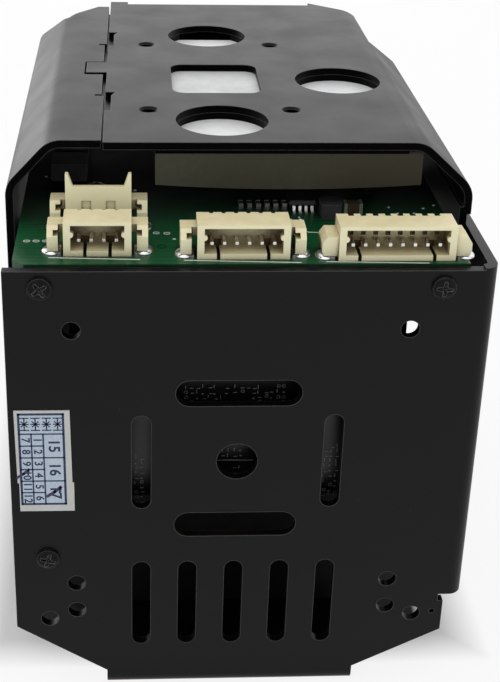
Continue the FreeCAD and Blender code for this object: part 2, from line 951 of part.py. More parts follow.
def block_ear(side, near, outer, edge):
    """Side ear of the widest wafer: a solid block with a sloping shoulder."""
    points = [
        (edge, ear_low),
        (outer - side * block_foot_inset, ear_low),
        (outer, board_top + block_side_low),
        (outer, board_top + block_side_high),
        (outer - side * block_bevel, board_top + block_top),
        (edge, board_top + block_top),
    ]
    return prism_y(points, near + block_front, near + wafer_depth)


def wafer_key(x, near):
    """Key slot: a narrow stem through the mouth's floor, and a wider head that bites into the back."""
    back = near + wafer_depth - wafer_back
    stem = box(x - key_width / 2, x + key_width / 2, near - past, back, board_top - past,
               board_top + wafer_floor + past)
    head = box(x - key_head / 2, x + key_head / 2, back - key_head_length, back + key_bite,
               board_top - past, board_top + key_rise)
    return [stem, head]


def wafer_body(name):
    """Box of a lying wafer, with its mouth, key slots, contact holes and rear grooves."""
    x, near, pins = connector_x[name], rear + connector_near[name], connector_pin_count[name]
    span = half_span(pins)
    half, mouth_half = span + body_side, span + cavity_side
    far, top = near + wafer_depth, board_top + wafer_height
    tools = [box(x - mouth_half, x + mouth_half, near - past, far - wafer_back,
                 board_top + wafer_floor, top - wafer_roof)]
    for key in (x - span + pin_pitch / 2, x + span - pin_pitch / 2):
        tools += wafer_key(key, near)
    groove_half = groove_width[name] / 2
    for pin in pin_xs(name):
        tools.append(box(pin - groove_half, pin + groove_half, far - groove_length[name], far + past,
                         top - groove_depth, top + past))
        if pins == max(connector_pin_count.values()):
            tools.append(box(pin - arch_width / 2, pin + arch_width / 2, far - wafer_back - past,
                             far - wafer_back + arch_depth, board_top + arch_low, board_top + arch_high))
        tools.append(box(pin - pin_size / 2, pin + pin_size / 2, far - wafer_back - past, far + past,
                         board_top + pin_height - pin_size / 2, board_top + pin_height + pin_size / 2))
    body = cut(box(x - half, x + half, near, far, board_top, top), tools)
    bumps = [along_y(x + side * mouth_half, board_top + bump_height, bump_radius, near, near + bump_depth)
             for side in (-1, 1)]
    return fuse([body] + bumps)


def wafer_housing(name):
    """Lying wafer housing, open to the rear, with two ears."""
    x, near, pins = connector_x[name], rear + connector_near[name], connector_pin_count[name]
    pieces = [wafer_body(name)]
    for side in (-1, 1):
        outer = x + side * (half_span(pins) + ear_reach)
        edge = x + side * (half_span(pins) + body_side)
        if pins == max(connector_pin_count.values()):
            pieces.append(block_ear(side, near, outer, edge))
        else:
            pieces.append(wafer_ear(side, near, outer, outer - side * ear_width, edge))
    return fuse(pieces)


def wafer_pins(name):
    """Bent contacts: a tip inside the mouth, a run through the back and a tail on the board."""
    near = rear + connector_near[name]
    far = near + wafer_depth
    low, high = pin_height - pin_size / 2, pin_height + pin_size / 2
    run = [
        (near + pin_setback, board_top + low),
        (near + pin_setback, board_top + high),
        (far + pin_size, board_top + high),
        (far + pin_size, board_top + pin_size / 2),
        (far + pin_size + pin_tail, board_top + pin_size / 2),
        (far + pin_size + pin_tail, board_top),
        (far, board_top),
        (far, board_top + low),
    ]
    return [prism_x(run, x - pin_size / 2, x + pin_size / 2) for x in pin_xs(name)]


def wafer_nails(name):
    """Soldered fitting nails under the two ears."""
    x, near, pins = connector_x[name], rear + connector_near[name], connector_pin_count[name]
    nails = []
    for side in (-1, 1):
        outer = x + side * (half_span(pins) + ear_reach + nail_overhang)
        inner = outer - side * nail_width
        foot = box(min(outer, inner), max(outer, inner), near + nail_front, near + nail_front + nail_length,
                   board_top, board_top + nail_sheet)
        tongue_out = x + side * (half_span(pins) + ear_reach - tongue_margin)
        tongue_in = tongue_out - side * (ear_width - 2 * tongue_margin)
        tongue = box(min(tongue_out, tongue_in), max(tongue_out, tongue_in), near + tongue_near,
                     near + tongue_far, board_top + nail_sheet, ear_low)
        nails.append(fuse([foot, tongue]))
    return nails


def rear_pin_xs():
    return [connector_x["left"] - half_span(rear_pins) + i * pin_pitch for i in range(rear_pins)]


def rear_housing():
    """Standing wafer housing behind the left connector, open at the top, with two horns."""
    x, near = connector_x["left"], rear + rear_near
    far = near + rear_depth
    half = half_span(rear_pins) + body_side
    top = board_top + rear_height
    middle = near + rear_depth / 2
    cavity_half = half_span(rear_pins) + cavity_side
    cavity = box(x - cavity_half, x + cavity_half, near + wafer_wall, far - wafer_wall,
                 board_top + rear_floor, top + past)
    back_drop = box(x - half - past, x + half + past, near + wafer_wall, far + past,
                    top - rear_back_drop, top + past)
    tools = [cavity, back_drop]
    for key in (x - pin_pitch, x + pin_pitch):
        tools.append(box(key - rear_key_width / 2, key + rear_key_width / 2, near - past,
                         near + rear_key_depth, board_top + rear_key_low, board_top + rear_key_high))
    for pin in rear_pin_xs():
        tools.append(box(pin - pin_size / 2, pin + pin_size / 2,
                         middle - pin_size / 2, middle + pin_size / 2,
                         board_top - past, board_top + rear_floor + past))
    pieces = [cut(box(x - half, x + half, near, far, board_top, top), tools)]
    for side in (-1, 1):
        outer = x + side * (half_span(rear_pins) + ear_reach)
        inner = outer - side * ear_width
        edge = x + side * half
        front, back = near + rear_ear_front, far - rear_ear_back
        shoulder, ear_top = board_top + rear_ear_shoulder, board_top + rear_ear_height
        points = [
            (front, ear_low),
            (front, shoulder),
            (front + rear_ear_slope, ear_top),
            (back, ear_top),
            (back, ear_low),
        ]
        post = prism_x(points, min(outer, inner), max(outer, inner))
        link = box(min(inner, edge), max(inner, edge), near + rear_bridge_front, back, shoulder, ear_top)
        pocket = ear_pocket(side, near, outer, rear_pocket_low, rear_pocket_high)
        pieces.append(fuse([post, link]).cut(pocket))
        horn = [
            (edge, top - past),
            (edge, board_top + rear_horn),
            (edge - side * rear_horn_tip, board_top + rear_horn),
            (edge - side * rear_horn_foot, top),
            (edge - side * rear_horn_foot, top - past),
        ]
        pieces.append(prism_y(horn, near, near + rear_horn_depth))
    return fuse(pieces)


def rear_contacts():
    middle = rear + rear_near + rear_depth / 2
    return [box(pin - pin_size / 2, pin + pin_size / 2, middle - pin_size / 2, middle + pin_size / 2,
                board_top, board_top + rear_pin_height) for pin in rear_pin_xs()]


def rear_nails():
    x, near = connector_x["left"], rear + rear_near
    nails = []
    for side in (-1, 1):
        outer = x + side * (half_span(rear_pins) + ear_reach + nail_overhang)
        inner = outer - side * nail_width
        nails.append(box(min(outer, inner), max(outer, inner), near + rear_nail_front,
                         near + rear_nail_front + nail_length, board_top, ear_low))
    return nails


def chip(x, y, length, width, height):
    return box(x - length / 2, x + length / 2, y - width / 2, y + width / 2, board_top, board_top + height)


def network_chip():
    return chip(network_chip_x, rear + network_chip_y, network_chip_size, network_chip_size,
                network_chip_height)


def driver_chip():
    """Small outline chip, its legs along the near and far sides."""
    x, y, half = driver_chip_x, rear + driver_chip_y, driver_chip_size / 2
    body = box(x - half, x + half, y - half, y + half, board_top + driver_chip_lift,
               board_top + driver_chip_height)
    legs = []
    for i in range(driver_legs):
        leg_x = x + (i - (driver_legs - 1) / 2) * driver_leg_pitch
        for side in (-1, 1):
            edge = y + side * half
            tip = edge + side * driver_leg_length
            legs.append(box(leg_x - driver_leg_width / 2, leg_x + driver_leg_width / 2,
                            min(edge, tip), max(edge, tip), board_top, board_top + driver_leg_sheet))
    return fuse([body] + legs)


def inductors():
    """Square power inductors and one small choke with rounded corners."""
    squares = [chip(x, rear + y, inductor_size, inductor_size, inductor_height) for x, y in inductor_places]
    choke = chip(choke_place[0], rear + choke_place[1], choke_length, choke_width, choke_height)
    upright = [edge for edge in choke.Edges if edge.BoundBox.ZLength > choke_height / 2]
    return squares + [choke.makeFillet(choke_round, upright)]


def capacitors():
    return [chip(x, rear + y, capacitor_length, capacitor_width, capacitor_height)
            for x, y in capacitor_places]


def resistors():
    return [chip(resistor_row_x + i * resistor_pitch, rear + resistor_row_y, resistor_width, resistor_length,
                 resistor_height) for i in range(resistor_count)]


def crystal():
    x, y = crystal_place
    return chip(x, rear + y, crystal_length, crystal_width, crystal_height)


def plate_posts():
    """Square posts between the back plate and the ears of the rear frame."""
    posts = []
    for x, z in plate_screw_places():
        post = box(x - post_half, x + post_half, plate_front, frame_rear, z - post_half, z + post_half)
        hole = along_y(x, z, screw_hole_radius, plate_front - past, plate_front + post_hole_depth)
        posts.append(post.cut(hole))
    return posts


def plate_screws():
    length = chassis_sheet + plate_screw_grip
    return [screw(V(x, rear, z), V(0, 1, 0), length) for x, z in plate_screw_places()]


def lens_housing():
    """Moulded box round the moving lens groups, open to the rear, with bosses and motor saddles."""
    shell = box(-housing_half, housing_half, frame_front, housing_front, housing_low, housing_top)
    long_edges = [edge for edge in shell.Edges if edge.BoundBox.YLength > base_length / 2]
    shell = shell.makeFillet(housing_edge, long_edges)
    inside = box(-housing_half + housing_wall, housing_half - housing_wall, frame_front - past,
                 housing_front - front_wall, mouth_z, housing_top - housing_wall)
    shell = shell.cut(inside)
    mouth = along_y(0, axis_height, housing_mouth, housing_front - front_wall - past, housing_front + past)
    shell = shell.cut(mouth)
    pieces = [shell]
    for x, motor_near in ((-screw_x, zoom_motor_near), (screw_x, focus_motor_near)):
        y0 = rear + motor_near
        saddle = box(x - saddle_half, x + saddle_half, y0, y0 + motor_length, mouth_z - root_depth,
                     mouth_z + saddle_height)
        pieces.append(saddle.cut(along_y(x, screw_z, motor_radius, y0 - past, y0 + motor_length + past)))
    for y in side_boss_y:
        pieces.append(along_x(rear + y, axis_height, boss_radius, -cover_outside + cover_sheet,
                              -housing_half + root_depth))
    pieces.append(along_x(rear + arm_boss_y, arm_boss_z, boss_radius, housing_half - root_depth,
                          wall_outside - chassis_sheet))
    shape = fuse(pieces)
    tools = []
    for y in side_boss_y:
        tools.append(along_x(rear + y, axis_height, screw_hole_radius, -cover_outside, -housing_half))
    tools.append(along_x(rear + arm_boss_y, arm_boss_z, screw_hole_radius, housing_half, wall_outside))
    for x, z in rod_places:
        tools.append(along_y(x, z, rod_radius + fit_gap, housing_front - front_wall - past,
                             housing_front - front_wall + rod_seat))
    tools.append(along_y(-screw_x, screw_z, lead_radius + running_gap, housing_front - front_wall - past,
                         housing_front - front_wall + rod_seat))
    for x, y in base_screw_places():
        tools.append(along_z(x, y, screw_hole_radius, 0, mouth_z))
    return cut(shape, tools)


def rear_frame():
    """Frame that closes the lens housing: light window, filter channel, rod seats and ears."""
    frame = box(-housing_half, housing_half, frame_rear, frame_front, housing_low, housing_top)
    ears = []
    for x, z in plate_screw_places():
        inner = math.copysign(housing_half - frame_overlap, x)
        outer = x + math.copysign(ear_half, x)
        top = min(z + ear_half, board_under - fit_gap)
        ears.append(box(min(inner, outer), max(inner, outer), frame_rear, frame_front, z - ear_half, top))
    frame = fuse([frame] + ears)
    half = filter_size / 2 + filter_frame
    reach = filter_size + 2 * filter_frame + filter_travel / 2 + channel_end_gap
    channel_near = frame_rear + filter_setback - filter_play
    channel_far = frame_rear + filter_setback + filter_thick + filter_play
    tools = [
        box(-frame_window, frame_window, frame_rear - past, frame_front + past,
            axis_height - frame_window + frame_window_lip, axis_height + frame_window - frame_window_lip),
        box(-frame_window, frame_window, frame_rear - past, frame_rear + sensor_height + sensor_clearance,
            axis_height - frame_window, axis_height + frame_window),
        box(-reach, reach, channel_near, channel_far, axis_height - half - filter_play,
            axis_height + half + filter_play),
        along_y(screw_x, screw_z, lead_radius + running_gap, frame_front - rod_seat, frame_front + past),
    ]
    for x, z in rod_places:
        tools.append(along_y(x, z, rod_radius + fit_gap, frame_front - rod_seat, frame_front + past))
    return cut(frame, tools)


def guide_rods():
    y0 = frame_front - rod_seat
    y1 = housing_front - front_wall + rod_seat
    return [along_y(x, z, rod_radius, y0, y1) for x, z in rod_places]


def carriage(rest, lens_radius, nut_x):
    """Lens carriage: a ring with a sleeve on each guide rod and a nut on its lead screw."""
    y0, y1 = rear + rest, rear + rest + carriage_depth
    pieces = [along_y(0, axis_height, carriage_radius, y0, y1)]
    for x, z in rod_places:
        pieces.append(bar_y((0, axis_height), (x, z), sleeve_radius, y0, y1))
        pieces.append(along_y(x, z, sleeve_radius, y0, y1))
    nut_y = (y0 + nut_inset, y1 - nut_inset)
    pieces.append(bar_y((nut_x, axis_height - carriage_radius / 2), (nut_x, screw_z), nut_arm_half, *nut_y))
    pieces.append(along_y(nut_x, screw_z, nut_radius, *nut_y))
    shape = fuse(pieces)
    tools = [along_y(0, axis_height, lens_radius, y0 - past, y1 + past)]
    tools += [along_y(x, z, rod_radius + running_gap, y0 - past, y1 + past) for x, z in rod_places]
    tools.append(along_y(nut_x, screw_z, lead_radius + running_gap, y0 - past, y1 + past))
    return cut(shape, tools)


def lens(radius, y0, depth, bulge):
    """Glass disc with a domed front face."""
    disc = along_y(0, axis_height, radius, y0, y0 + depth)
    sphere_radius = (radius ** 2 + bulge ** 2) / (2 * bulge)
    ball = Part.makeSphere(sphere_radius, V(0, y0 + depth + bulge - sphere_radius, axis_height))
    cap = along_y(0, axis_height, radius, y0 + depth / 2, y0 + depth + bulge).common(ball)
    return disc.fuse(cap).removeSplitter()


def group_lens(radius, rest):
    return lens(radius, rear + rest + group_lens_seat, group_lens_depth, group_lens_bulge)


def relay_holder():
    """Fixed wall across the housing that holds the middle lens."""
    y0 = rear + relay_rest
    y1 = y0 + relay_depth
    wall = box(-housing_half + housing_wall, housing_half - housing_wall, y0, y1, mouth_z,
               housing_top - housing_wall)
    tools = [along_y(0, axis_height, relay_lens_radius, y0 - past, y1 + past)]
    tools += [along_y(x, z, rod_radius + fit_gap, y0 - past, y1 + past) for x, z in rod_places]
    tools += [along_y(x, screw_z, lead_radius + screw_clearance, y0 - past, y1 + past)
              for x in (-screw_x, screw_x)]
    return cut(wall, tools)


def relay_lens():
    y0 = rear + relay_rest
    return along_y(0, axis_height, relay_lens_radius, y0, y0 + relay_depth)


def motor(x, motor_near):
    y0 = rear + motor_near
    body = along_y(x, screw_z, motor_radius, y0, y0 + motor_length)
    return body.cut(along_y(x, screw_z, lead_radius + running_gap, y0 - past, y0 + motor_length + past))


def zoom_screw():
    y1 = housing_front - front_wall + rod_seat - running_gap
    return along_y(-screw_x, screw_z, lead_radius, rear + zoom_motor_near + screw_end_inset, y1)


def focus_screw():
    y0 = frame_front - rod_seat + running_gap
    y1 = rear + focus_motor_near + motor_length - screw_end_inset
    return along_y(screw_x, screw_z, lead_radius, y0, y1)


def front_barrel():
    y0 = housing_front
    tube = along_y(0, axis_height, barrel_radius, y0, ring_rear)
    return tube.cut(along_y(0, axis_height, barrel_radius - barrel_wall, y0 - past, ring_rear + past))


def front_ring():
    y1 = rear + module_length
    ring = along_y(0, axis_height, ring_radius, ring_rear, y1)
    rim = [edge for edge in ring.Edges if edge.Closed and edge.BoundBox.YMin > y1 - no_length]
    ring = ring.makeChamfer(ring_chamfer, rim)
    start = V(0, ring_rear, axis_height)
    mouth = Part.makeCone(ring_mouth, ring_mouth + ring_flare, ring_depth, start, V(0, 1, 0))
    return ring.cut(mouth)


def front_lens():
    y0 = ring_rear - front_lens_setback - front_lens_depth
    return lens(barrel_radius - barrel_wall, y0, front_lens_depth - front_lens_bulge, front_lens_bulge)


def filter_slide():
    """Sliding plate with two square windows in front of the image sensor."""
    x = -filter_travel / 2
    y0 = frame_rear + filter_setback
    half = filter_size / 2 + filter_frame
    length_half = filter_travel / 2 + filter_size / 2 + filter_frame
    plate = box(x - length_half, x + length_half, y0, y0 + filter_thick,
                axis_height - half, axis_height + half)
    windows = [filter_window(centre, y0 - past, y0 + filter_thick + past) for centre in (0, -filter_travel)]
    return cut(plate, windows)


def filter_window(centre, y0, y1):
    half = filter_size / 2
    return box(centre - half, centre + half, y0, y1, axis_height - half, axis_height + half)


def filter_pane(centre):
    y0 = frame_rear + filter_setback + (filter_thick - filter_glass) / 2
    return filter_window(centre, y0, y0 + filter_glass)


def filter_actuator():
    low = axis_height + actuator_above_axis
    return box(actuator_x, actuator_x + actuator_width, frame_rear - actuator_depth, frame_rear,
               low, low + actuator_height)


def image_sensor():
    half = sensor_size / 2
    return box(-half, half, frame_rear, frame_rear + sensor_height, axis_height - half, axis_height + half)


def sensor_board():
    half = sensor_board_half
    return box(-half, half, sensor_rear, frame_rear, axis_height - half, axis_height + half)


def ribbon_sockets():
    half = ribbon_half + socket_side
    spans = ((control_front, control_front + socket_depth), (sensor_rear - socket_depth, sensor_rear))
    return [box(-half, half, y0, y1, socket_z, socket_z + socket_height) for y0, y1 in spans]


def ribbon_cable():
    """Flat ribbon that drops from one socket, turns below and rises into the other."""
    y0 = control_front + socket_depth / 2
    y1 = sensor_rear - socket_depth / 2
    radius = (y1 - y0) / 2
    low = socket_z - ribbon_drop
    outer = radius + ribbon_sheet / 2
    inner = radius - ribbon_sheet / 2
    middle = (y0 + y1) / 2
    loop = along_x(middle, low, outer, -ribbon_half, ribbon_half).cut(
        along_x(middle, low, inner, -ribbon_half - past, ribbon_half + past))
    lower_half = box(-ribbon_half, ribbon_half, middle - outer, middle + outer, low - outer, low)
    pieces = [loop.common(lower_half)]
    for y in (y0, y1):
        pieces.append(box(-ribbon_half, ribbon_half, y - ribbon_sheet / 2, y + ribbon_sheet / 2,
                          low, socket_z))
    return fuse(pieces)


def label():
    return box(label_left, label_left + label_width, rear - label_sheet, rear,
               axis_height - label_below_axis, axis_height + label_above_axis)


def side_screws():
    """Screws through the left cover into the housing's bosses."""
    return [screw(V(-cover_outside, rear + y, axis_height), V(1, 0, 0), side_screw_length)
            for y in side_boss_y]


def wall_screws():
    """Screws through the right wall into the bracket's flange and the housing's boss."""
    screws = []
    for y in lug_screw_y:
        screws.append(screw(V(wall_outside, rear + y, lug_screw_z), V(-1, 0, 0), lug_screw_length))
    screws.append(screw(V(wall_outside, rear + arm_boss_y, arm_boss_z), V(-1, 0, 0), side_screw_length))
    return screws


def save(name, shapes):
    shape = shapes if isinstance(shapes, Part.Shape) else Part.makeCompound(shapes)
    if not shape.isValid():
        print(name, "is not valid")
    shape.exportStep("parts/" + name + ".step")
    print(name, len(shape.Solids), round(shape.Volume, 3))


save("chassis", chassis())
save("left_cover", left_cover())
save("top_bracket", top_bracket())
save("inner_plate", inner_plate())
save("heat_spreader", heat_spreader())
save("thermal_pad", thermal_pad())
save("network_board", network_board())
save("control_board", control_board())
save("board_header", board_header())
for connector in connector_x:
    save(connector + "_connector_housing", wafer_housing(connector))
    save(connector + "_connector_pins", wafer_pins(connector))
    save(connector + "_connector_nails", wafer_nails(connector))
save("rear_connector_housing", rear_housing())
save("rear_connector_pins", rear_contacts())
save("rear_connector_nails", rear_nails())
save("network_chip", network_chip())
save("driver_chip", driver_chip())
save("power_inductors", inductors())
save("ceramic_capacitors", capacitors())
save("chip_resistors", resistors())
save("clock_crystal", crystal())
save("board_standoffs", standoffs())
save("board_screws", board_screws() + control_screws())
save("control_spacers", control_spacers())
save("plate_posts", plate_posts())
save("plate_screws", plate_screws())
save("base_screws", [base_screw(x, y) for x, y in base_screw_places()])
save("case_screws", side_screws() + wall_screws())
save("date_label", label())
save("lens_housing", lens_housing())
save("rear_frame", rear_frame())
save("guide_rods", guide_rods())
save("zoom_carriage", carriage(zoom_rest, zoom_lens_radius, -screw_x))
save("zoom_lens", group_lens(zoom_lens_radius, zoom_rest))
save("focus_carriage", carriage(focus_rest, focus_lens_radius, screw_x))
save("focus_lens", group_lens(focus_lens_radius, focus_rest))
save("relay_holder", relay_holder())
save("relay_lens", relay_lens())
save("zoom_motor", motor(-screw_x, zoom_motor_near))
save("focus_motor", motor(screw_x, focus_motor_near))
save("zoom_lead_screw", zoom_screw())
save("focus_lead_screw", focus_screw())
save("front_barrel", front_barrel())
save("front_ring", front_ring())
save("front_lens", front_lens())
save("filter_slide", filter_slide())
save("infrared_filter", filter_pane(0))
save("clear_filter", filter_pane(-filter_travel))
save("filter_actuator", filter_actuator())
save("image_sensor", image_sensor())
save("sensor_board", sensor_board())
save("ribbon_sockets", ribbon_sockets())
save("ribbon_cable", ribbon_cable())
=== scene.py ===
"""Looks of a zoom camera module: camera, light, materials and fine detail around its solids.

Everything is in metres in the frame of the solids: X to the right seen from the slotted back
plate, Y from the back plate to the lens, and Z up from the base's underside.
"""

import math
import random

import bmesh
import bpy
from mathutils import Matrix, Vector


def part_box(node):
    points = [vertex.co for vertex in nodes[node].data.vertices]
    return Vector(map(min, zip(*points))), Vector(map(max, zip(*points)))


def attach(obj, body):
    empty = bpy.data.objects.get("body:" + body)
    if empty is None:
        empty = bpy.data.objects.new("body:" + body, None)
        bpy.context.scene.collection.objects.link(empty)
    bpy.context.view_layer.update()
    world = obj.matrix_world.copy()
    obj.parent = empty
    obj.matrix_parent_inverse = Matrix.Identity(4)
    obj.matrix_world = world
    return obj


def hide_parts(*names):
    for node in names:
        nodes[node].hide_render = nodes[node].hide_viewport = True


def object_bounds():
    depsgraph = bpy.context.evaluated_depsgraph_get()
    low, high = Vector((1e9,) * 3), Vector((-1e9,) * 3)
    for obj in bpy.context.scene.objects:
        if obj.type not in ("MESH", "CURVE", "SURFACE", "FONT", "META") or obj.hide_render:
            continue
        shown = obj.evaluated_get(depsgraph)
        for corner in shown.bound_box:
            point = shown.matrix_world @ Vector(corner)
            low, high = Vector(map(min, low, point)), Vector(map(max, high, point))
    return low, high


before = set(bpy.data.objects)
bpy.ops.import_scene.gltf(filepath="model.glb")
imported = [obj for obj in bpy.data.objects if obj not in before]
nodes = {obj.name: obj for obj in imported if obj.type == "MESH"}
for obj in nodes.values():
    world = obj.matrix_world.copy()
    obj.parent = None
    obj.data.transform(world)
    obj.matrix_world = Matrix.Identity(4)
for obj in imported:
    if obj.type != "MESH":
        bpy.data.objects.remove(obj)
cad_low, cad_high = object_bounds()
scene = bpy.context.scene
mm = 0.001

# Camera, matched to the photograph's frame in pixels
image_width = 500
image_height = 682
principal_x = 200.0
principal_y = 245.0
focal_pixels = 1344.4
camera_place = Vector((-10.77, -163.70, 107.86)) * mm
camera_pitch = math.radians(24.123)
camera_yaw = math.radians(3.101)
camera_roll = math.radians(1.160)
sensor_size = 36.0
clip_near = 0.005
clip_far = 20.0

# Studio: the world's strength goes from front to back along the given part of Y
seen_white = 1.0
world_front = 0.72
world_back = 1.0
world_span = (-0.7, 0.5)
light_target = (0, 0, 0.05)
soft_boxes = (  # name, place, width, height and radiance
    ("back_box", (-0.15, 0.75, 0.40), 1.3, 0.40, 0.9),
    ("side_box", (-0.50, 0.62, 0.12), 0.45, 0.24, 2.6),
    ("top_box", (-0.1, -0.1, 0.7), 0.5, 0.5, 0.8),
)

# Floor: white away from the object, shaded around it, and with a painted shadow under its case
floor_size = 3.0
floor_albedo = 0.82
floor_albedo_low = 0.81
floor_cloud = 0.2
floor_glow = 0.86
shadow_margin = 5 * mm
shadow_middle_y = 4.0 * mm
shadow_half_y = 41.0 * mm
under_half_x = 24.0 * mm
under_middle_y = -3.9 * mm
under_half_y = 30.9 * mm
under_fade = 0.8 * mm
painted_shadow_level = 0.04

# Places of the solids that the added detail lies on
plate_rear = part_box("chassis")[0].y
board_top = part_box("network_board")[1].z
control_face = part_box("control_board")[0].y
label_low, label_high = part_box("date_label")
spreader_low, spreader_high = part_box("heat_spreader")
connectors = ("left", "middle", "right", "rear")
print_height = 0.012 * mm
weld_distance = 0.0002 * mm
merge_distance = 0.00001 * mm
soft_width = 0.06 * mm
soft_angle = math.radians(35)


def linked(name, data):
    made = bpy.data.objects.new(name, data)
    scene.collection.objects.link(made)
    return made


def make_camera():
    data = bpy.data.cameras.new("camera")
    data.sensor_width = sensor_size
    data.lens = focal_pixels * sensor_size / image_height
    data.shift_x = (image_width / 2 - principal_x) / image_height
    data.shift_y = (principal_y - image_height / 2) / image_height
    data.clip_start = clip_near
    data.clip_end = clip_far
    forward = Vector((math.sin(camera_yaw) * math.cos(camera_pitch),
                      math.cos(camera_yaw) * math.cos(camera_pitch),
                      -math.sin(camera_pitch)))
    level = Vector((math.cos(camera_yaw), -math.sin(camera_yaw), 0.0))
    upright = level.cross(forward)
    right = level * math.cos(camera_roll) + upright * math.sin(camera_roll)
    up = upright * math.cos(camera_roll) - level * math.sin(camera_roll)
    turn = Matrix((right, up, -forward)).transposed()
    camera = linked("camera", data)
    camera.matrix_world = Matrix.Translation(camera_place) @ turn.to_4x4()
    scene.camera = camera


# Sockets of a Mix node for colours, and the part of a noise's range that most of its values lie in
mix_first, mix_second, mix_result = 6, 7, 2
noise_low, noise_high = 0.3, 0.7


class Graph:
    """A short way to write a material's nodes."""

    def __init__(self, owner):
        owner.use_nodes = True
        self.tree = owner.node_tree
        self.tree.nodes.clear()

    def add(self, kind, inputs=None, **settings):
        node = self.tree.nodes.new(kind)
        for key, value in settings.items():
            setattr(node, key, value)
        for key, value in (inputs or {}).items():
            self.put(node.inputs[key], value)
        return node

    def put(self, socket, value):
        if isinstance(value, bpy.types.NodeSocket):
            self.tree.links.new(value, socket)
        else:
            socket.default_value = value

    def math(self, operation, first, second=0.0):
        return self.add("ShaderNodeMath", {0: first, 1: second}, operation=operation).outputs[0]

    def place(self):
        """Position on the piece, in metres."""
        return self.add("ShaderNodeTexCoord").outputs["Object"]

    def axis(self, name):
        return self.add("ShaderNodeSeparateXYZ", {0: self.place()}).outputs[name]

    def noise(self, size, detail=2.0, roughness=0.5, stretch=(1, 1, 1)):
        """Noise whose cells are about the given size in metres."""
        scaled = self.add("ShaderNodeMapping", {"Vector": self.place(), "Scale": stretch})
        node = self.add("ShaderNodeTexNoise", {"Vector": scaled.outputs[0], "Scale": 1 / size,
                                               "Detail": detail, "Roughness": roughness})
        return node.outputs["Fac"]

    def cells(self, size):
        """Distance to the nearest of points scattered about the given size apart."""
        node = self.add("ShaderNodeTexVoronoi", {"Vector": self.place(), "Scale": 1 / size})
        return node.outputs["Distance"]

    def spread(self, value, low, high, start=0.0, end=1.0):
        """Maps a value from low..high to start..end, clamped."""
        node = self.add("ShaderNodeMapRange", {"Value": value, "From Min": low, "From Max": high,
                                               "To Min": start, "To Max": end})
        return node.outputs["Result"]

    def vary(self, noise, start=0.0, end=1.0):
        """A noise's usual range mapped to start..end."""
        return self.spread(noise, noise_low, noise_high, start, end)

    def blend(self, factor, first, second):
        node = self.add("ShaderNodeMix", data_type="RGBA")
        self.put(node.inputs[0], factor)
        self.put(node.inputs[mix_first], first)
        self.put(node.inputs[mix_second], second)
        return node.outputs[mix_result]

    def mottle(self, noise, first, second):
        """Colour that wanders between two with a noise."""
        return self.blend(self.vary(noise), first, second)

    def bump(self, height, distance, strength=1.0):
        node = self.add("ShaderNodeBump", {"Height": height, "Distance": distance, "Strength": strength})
        return node.outputs["Normal"]

    def rounded(self, radius, height, distance, strength):
        """Fine bump over a normal that turns smoothly round sharp edges."""
        soft = self.add("ShaderNodeBevel", {"Radius": radius}, samples=4)
        node = self.add("ShaderNodeBump", {"Height": height, "Distance": distance, "Strength": strength,
                                           "Normal": soft.outputs[0]})
        return node.outputs["Normal"]

    def edges(self, radius, low, high):
        """1 along sharp edges within the radius, and 0 elsewhere."""
        soft = self.add("ShaderNodeBevel", {"Radius": radius}, samples=4)
        flat = self.add("ShaderNodeNewGeometry")
        dot = self.add("ShaderNodeVectorMath", {0: soft.outputs[0], 1: flat.outputs["Normal"]},
                       operation="DOT_PRODUCT")
        return self.spread(dot.outputs["Value"], high, low)

    def crevice(self, reach, low, high):
        """1 deep in corners and holes, and 0 on open faces."""
        node = self.add("ShaderNodeAmbientOcclusion", {"Distance": reach}, samples=6)
        return self.spread(node.outputs["AO"], high, low)

    def along(self, axis, low, high):
        """0 at the low and 1 at the high coordinate of an axis."""
        return self.spread(self.axis(axis), low, high)

    def beyond(self, axis, middle, half):
        """How far a point lies outside the strip of an axis around its middle."""
        away = self.math("ABSOLUTE", self.math("SUBTRACT", self.axis(axis), middle))
        return self.math("SUBTRACT", away, half)

    def facing(self, axis, low, high):
        """0 to 1 as the face's direction goes from low to high along an axis."""
        geometry = self.add("ShaderNodeNewGeometry")
        parts = self.add("ShaderNodeSeparateXYZ", {0: geometry.outputs["True Normal"]})
        return self.spread(parts.outputs[axis], low, high)

    def shown(self):
        """1 for rays that show the background: seen directly, mirrored or through glass."""
        path = self.add("ShaderNodeLightPath")
        seen = self.math("MAXIMUM", path.outputs["Is Camera Ray"], path.outputs["Is Transmission Ray"])
        return self.math("MAXIMUM", seen, path.outputs["Is Glossy Ray"])

    def end(self, shader, kind="ShaderNodeOutputMaterial"):
        self.tree.links.new(shader.outputs[0], self.add(kind).inputs[0])

    def finish(self, **inputs):
        """Principled shader with the given inputs, joined to the output."""
        shader = self.add("ShaderNodeBsdfPrincipled")
        for key, value in inputs.items():
            self.put(shader.inputs[key.replace("_", " ")], value)
        self.end(shader)


def grey(value):
    return (value, value, value, 1.0)


def colour(red, green, blue):
    return (red, green, blue, 1.0)


def new_material(name):
    made = bpy.data.materials.new(name)
    return made, Graph(made)


# Parts that a mask picks out, as the values between which it begins: directions of a face, bends of
# an edge, coordinates, and openness within a reach
facing_up = (0.5, 0.9)
facing_side = (0.60, 0.35)
facing_rear = (-0.60, -0.90)
facing_down = (-0.15, -0.50)
edge_reach = 0.14 * mm
edge_bend = (0.80, 0.995)
wear_and_highlight_from_z = (3 * mm, 8 * mm)
roof_from_z = (58.2 * mm, 58.8 * mm)
inner_from_y = (plate_rear + 0.6 * mm, plate_rear + 1.2 * mm)
corner_hollow = (1.6 * mm, 0.25, 0.75)
case_hollow = (14 * mm, 0.15, 0.55)


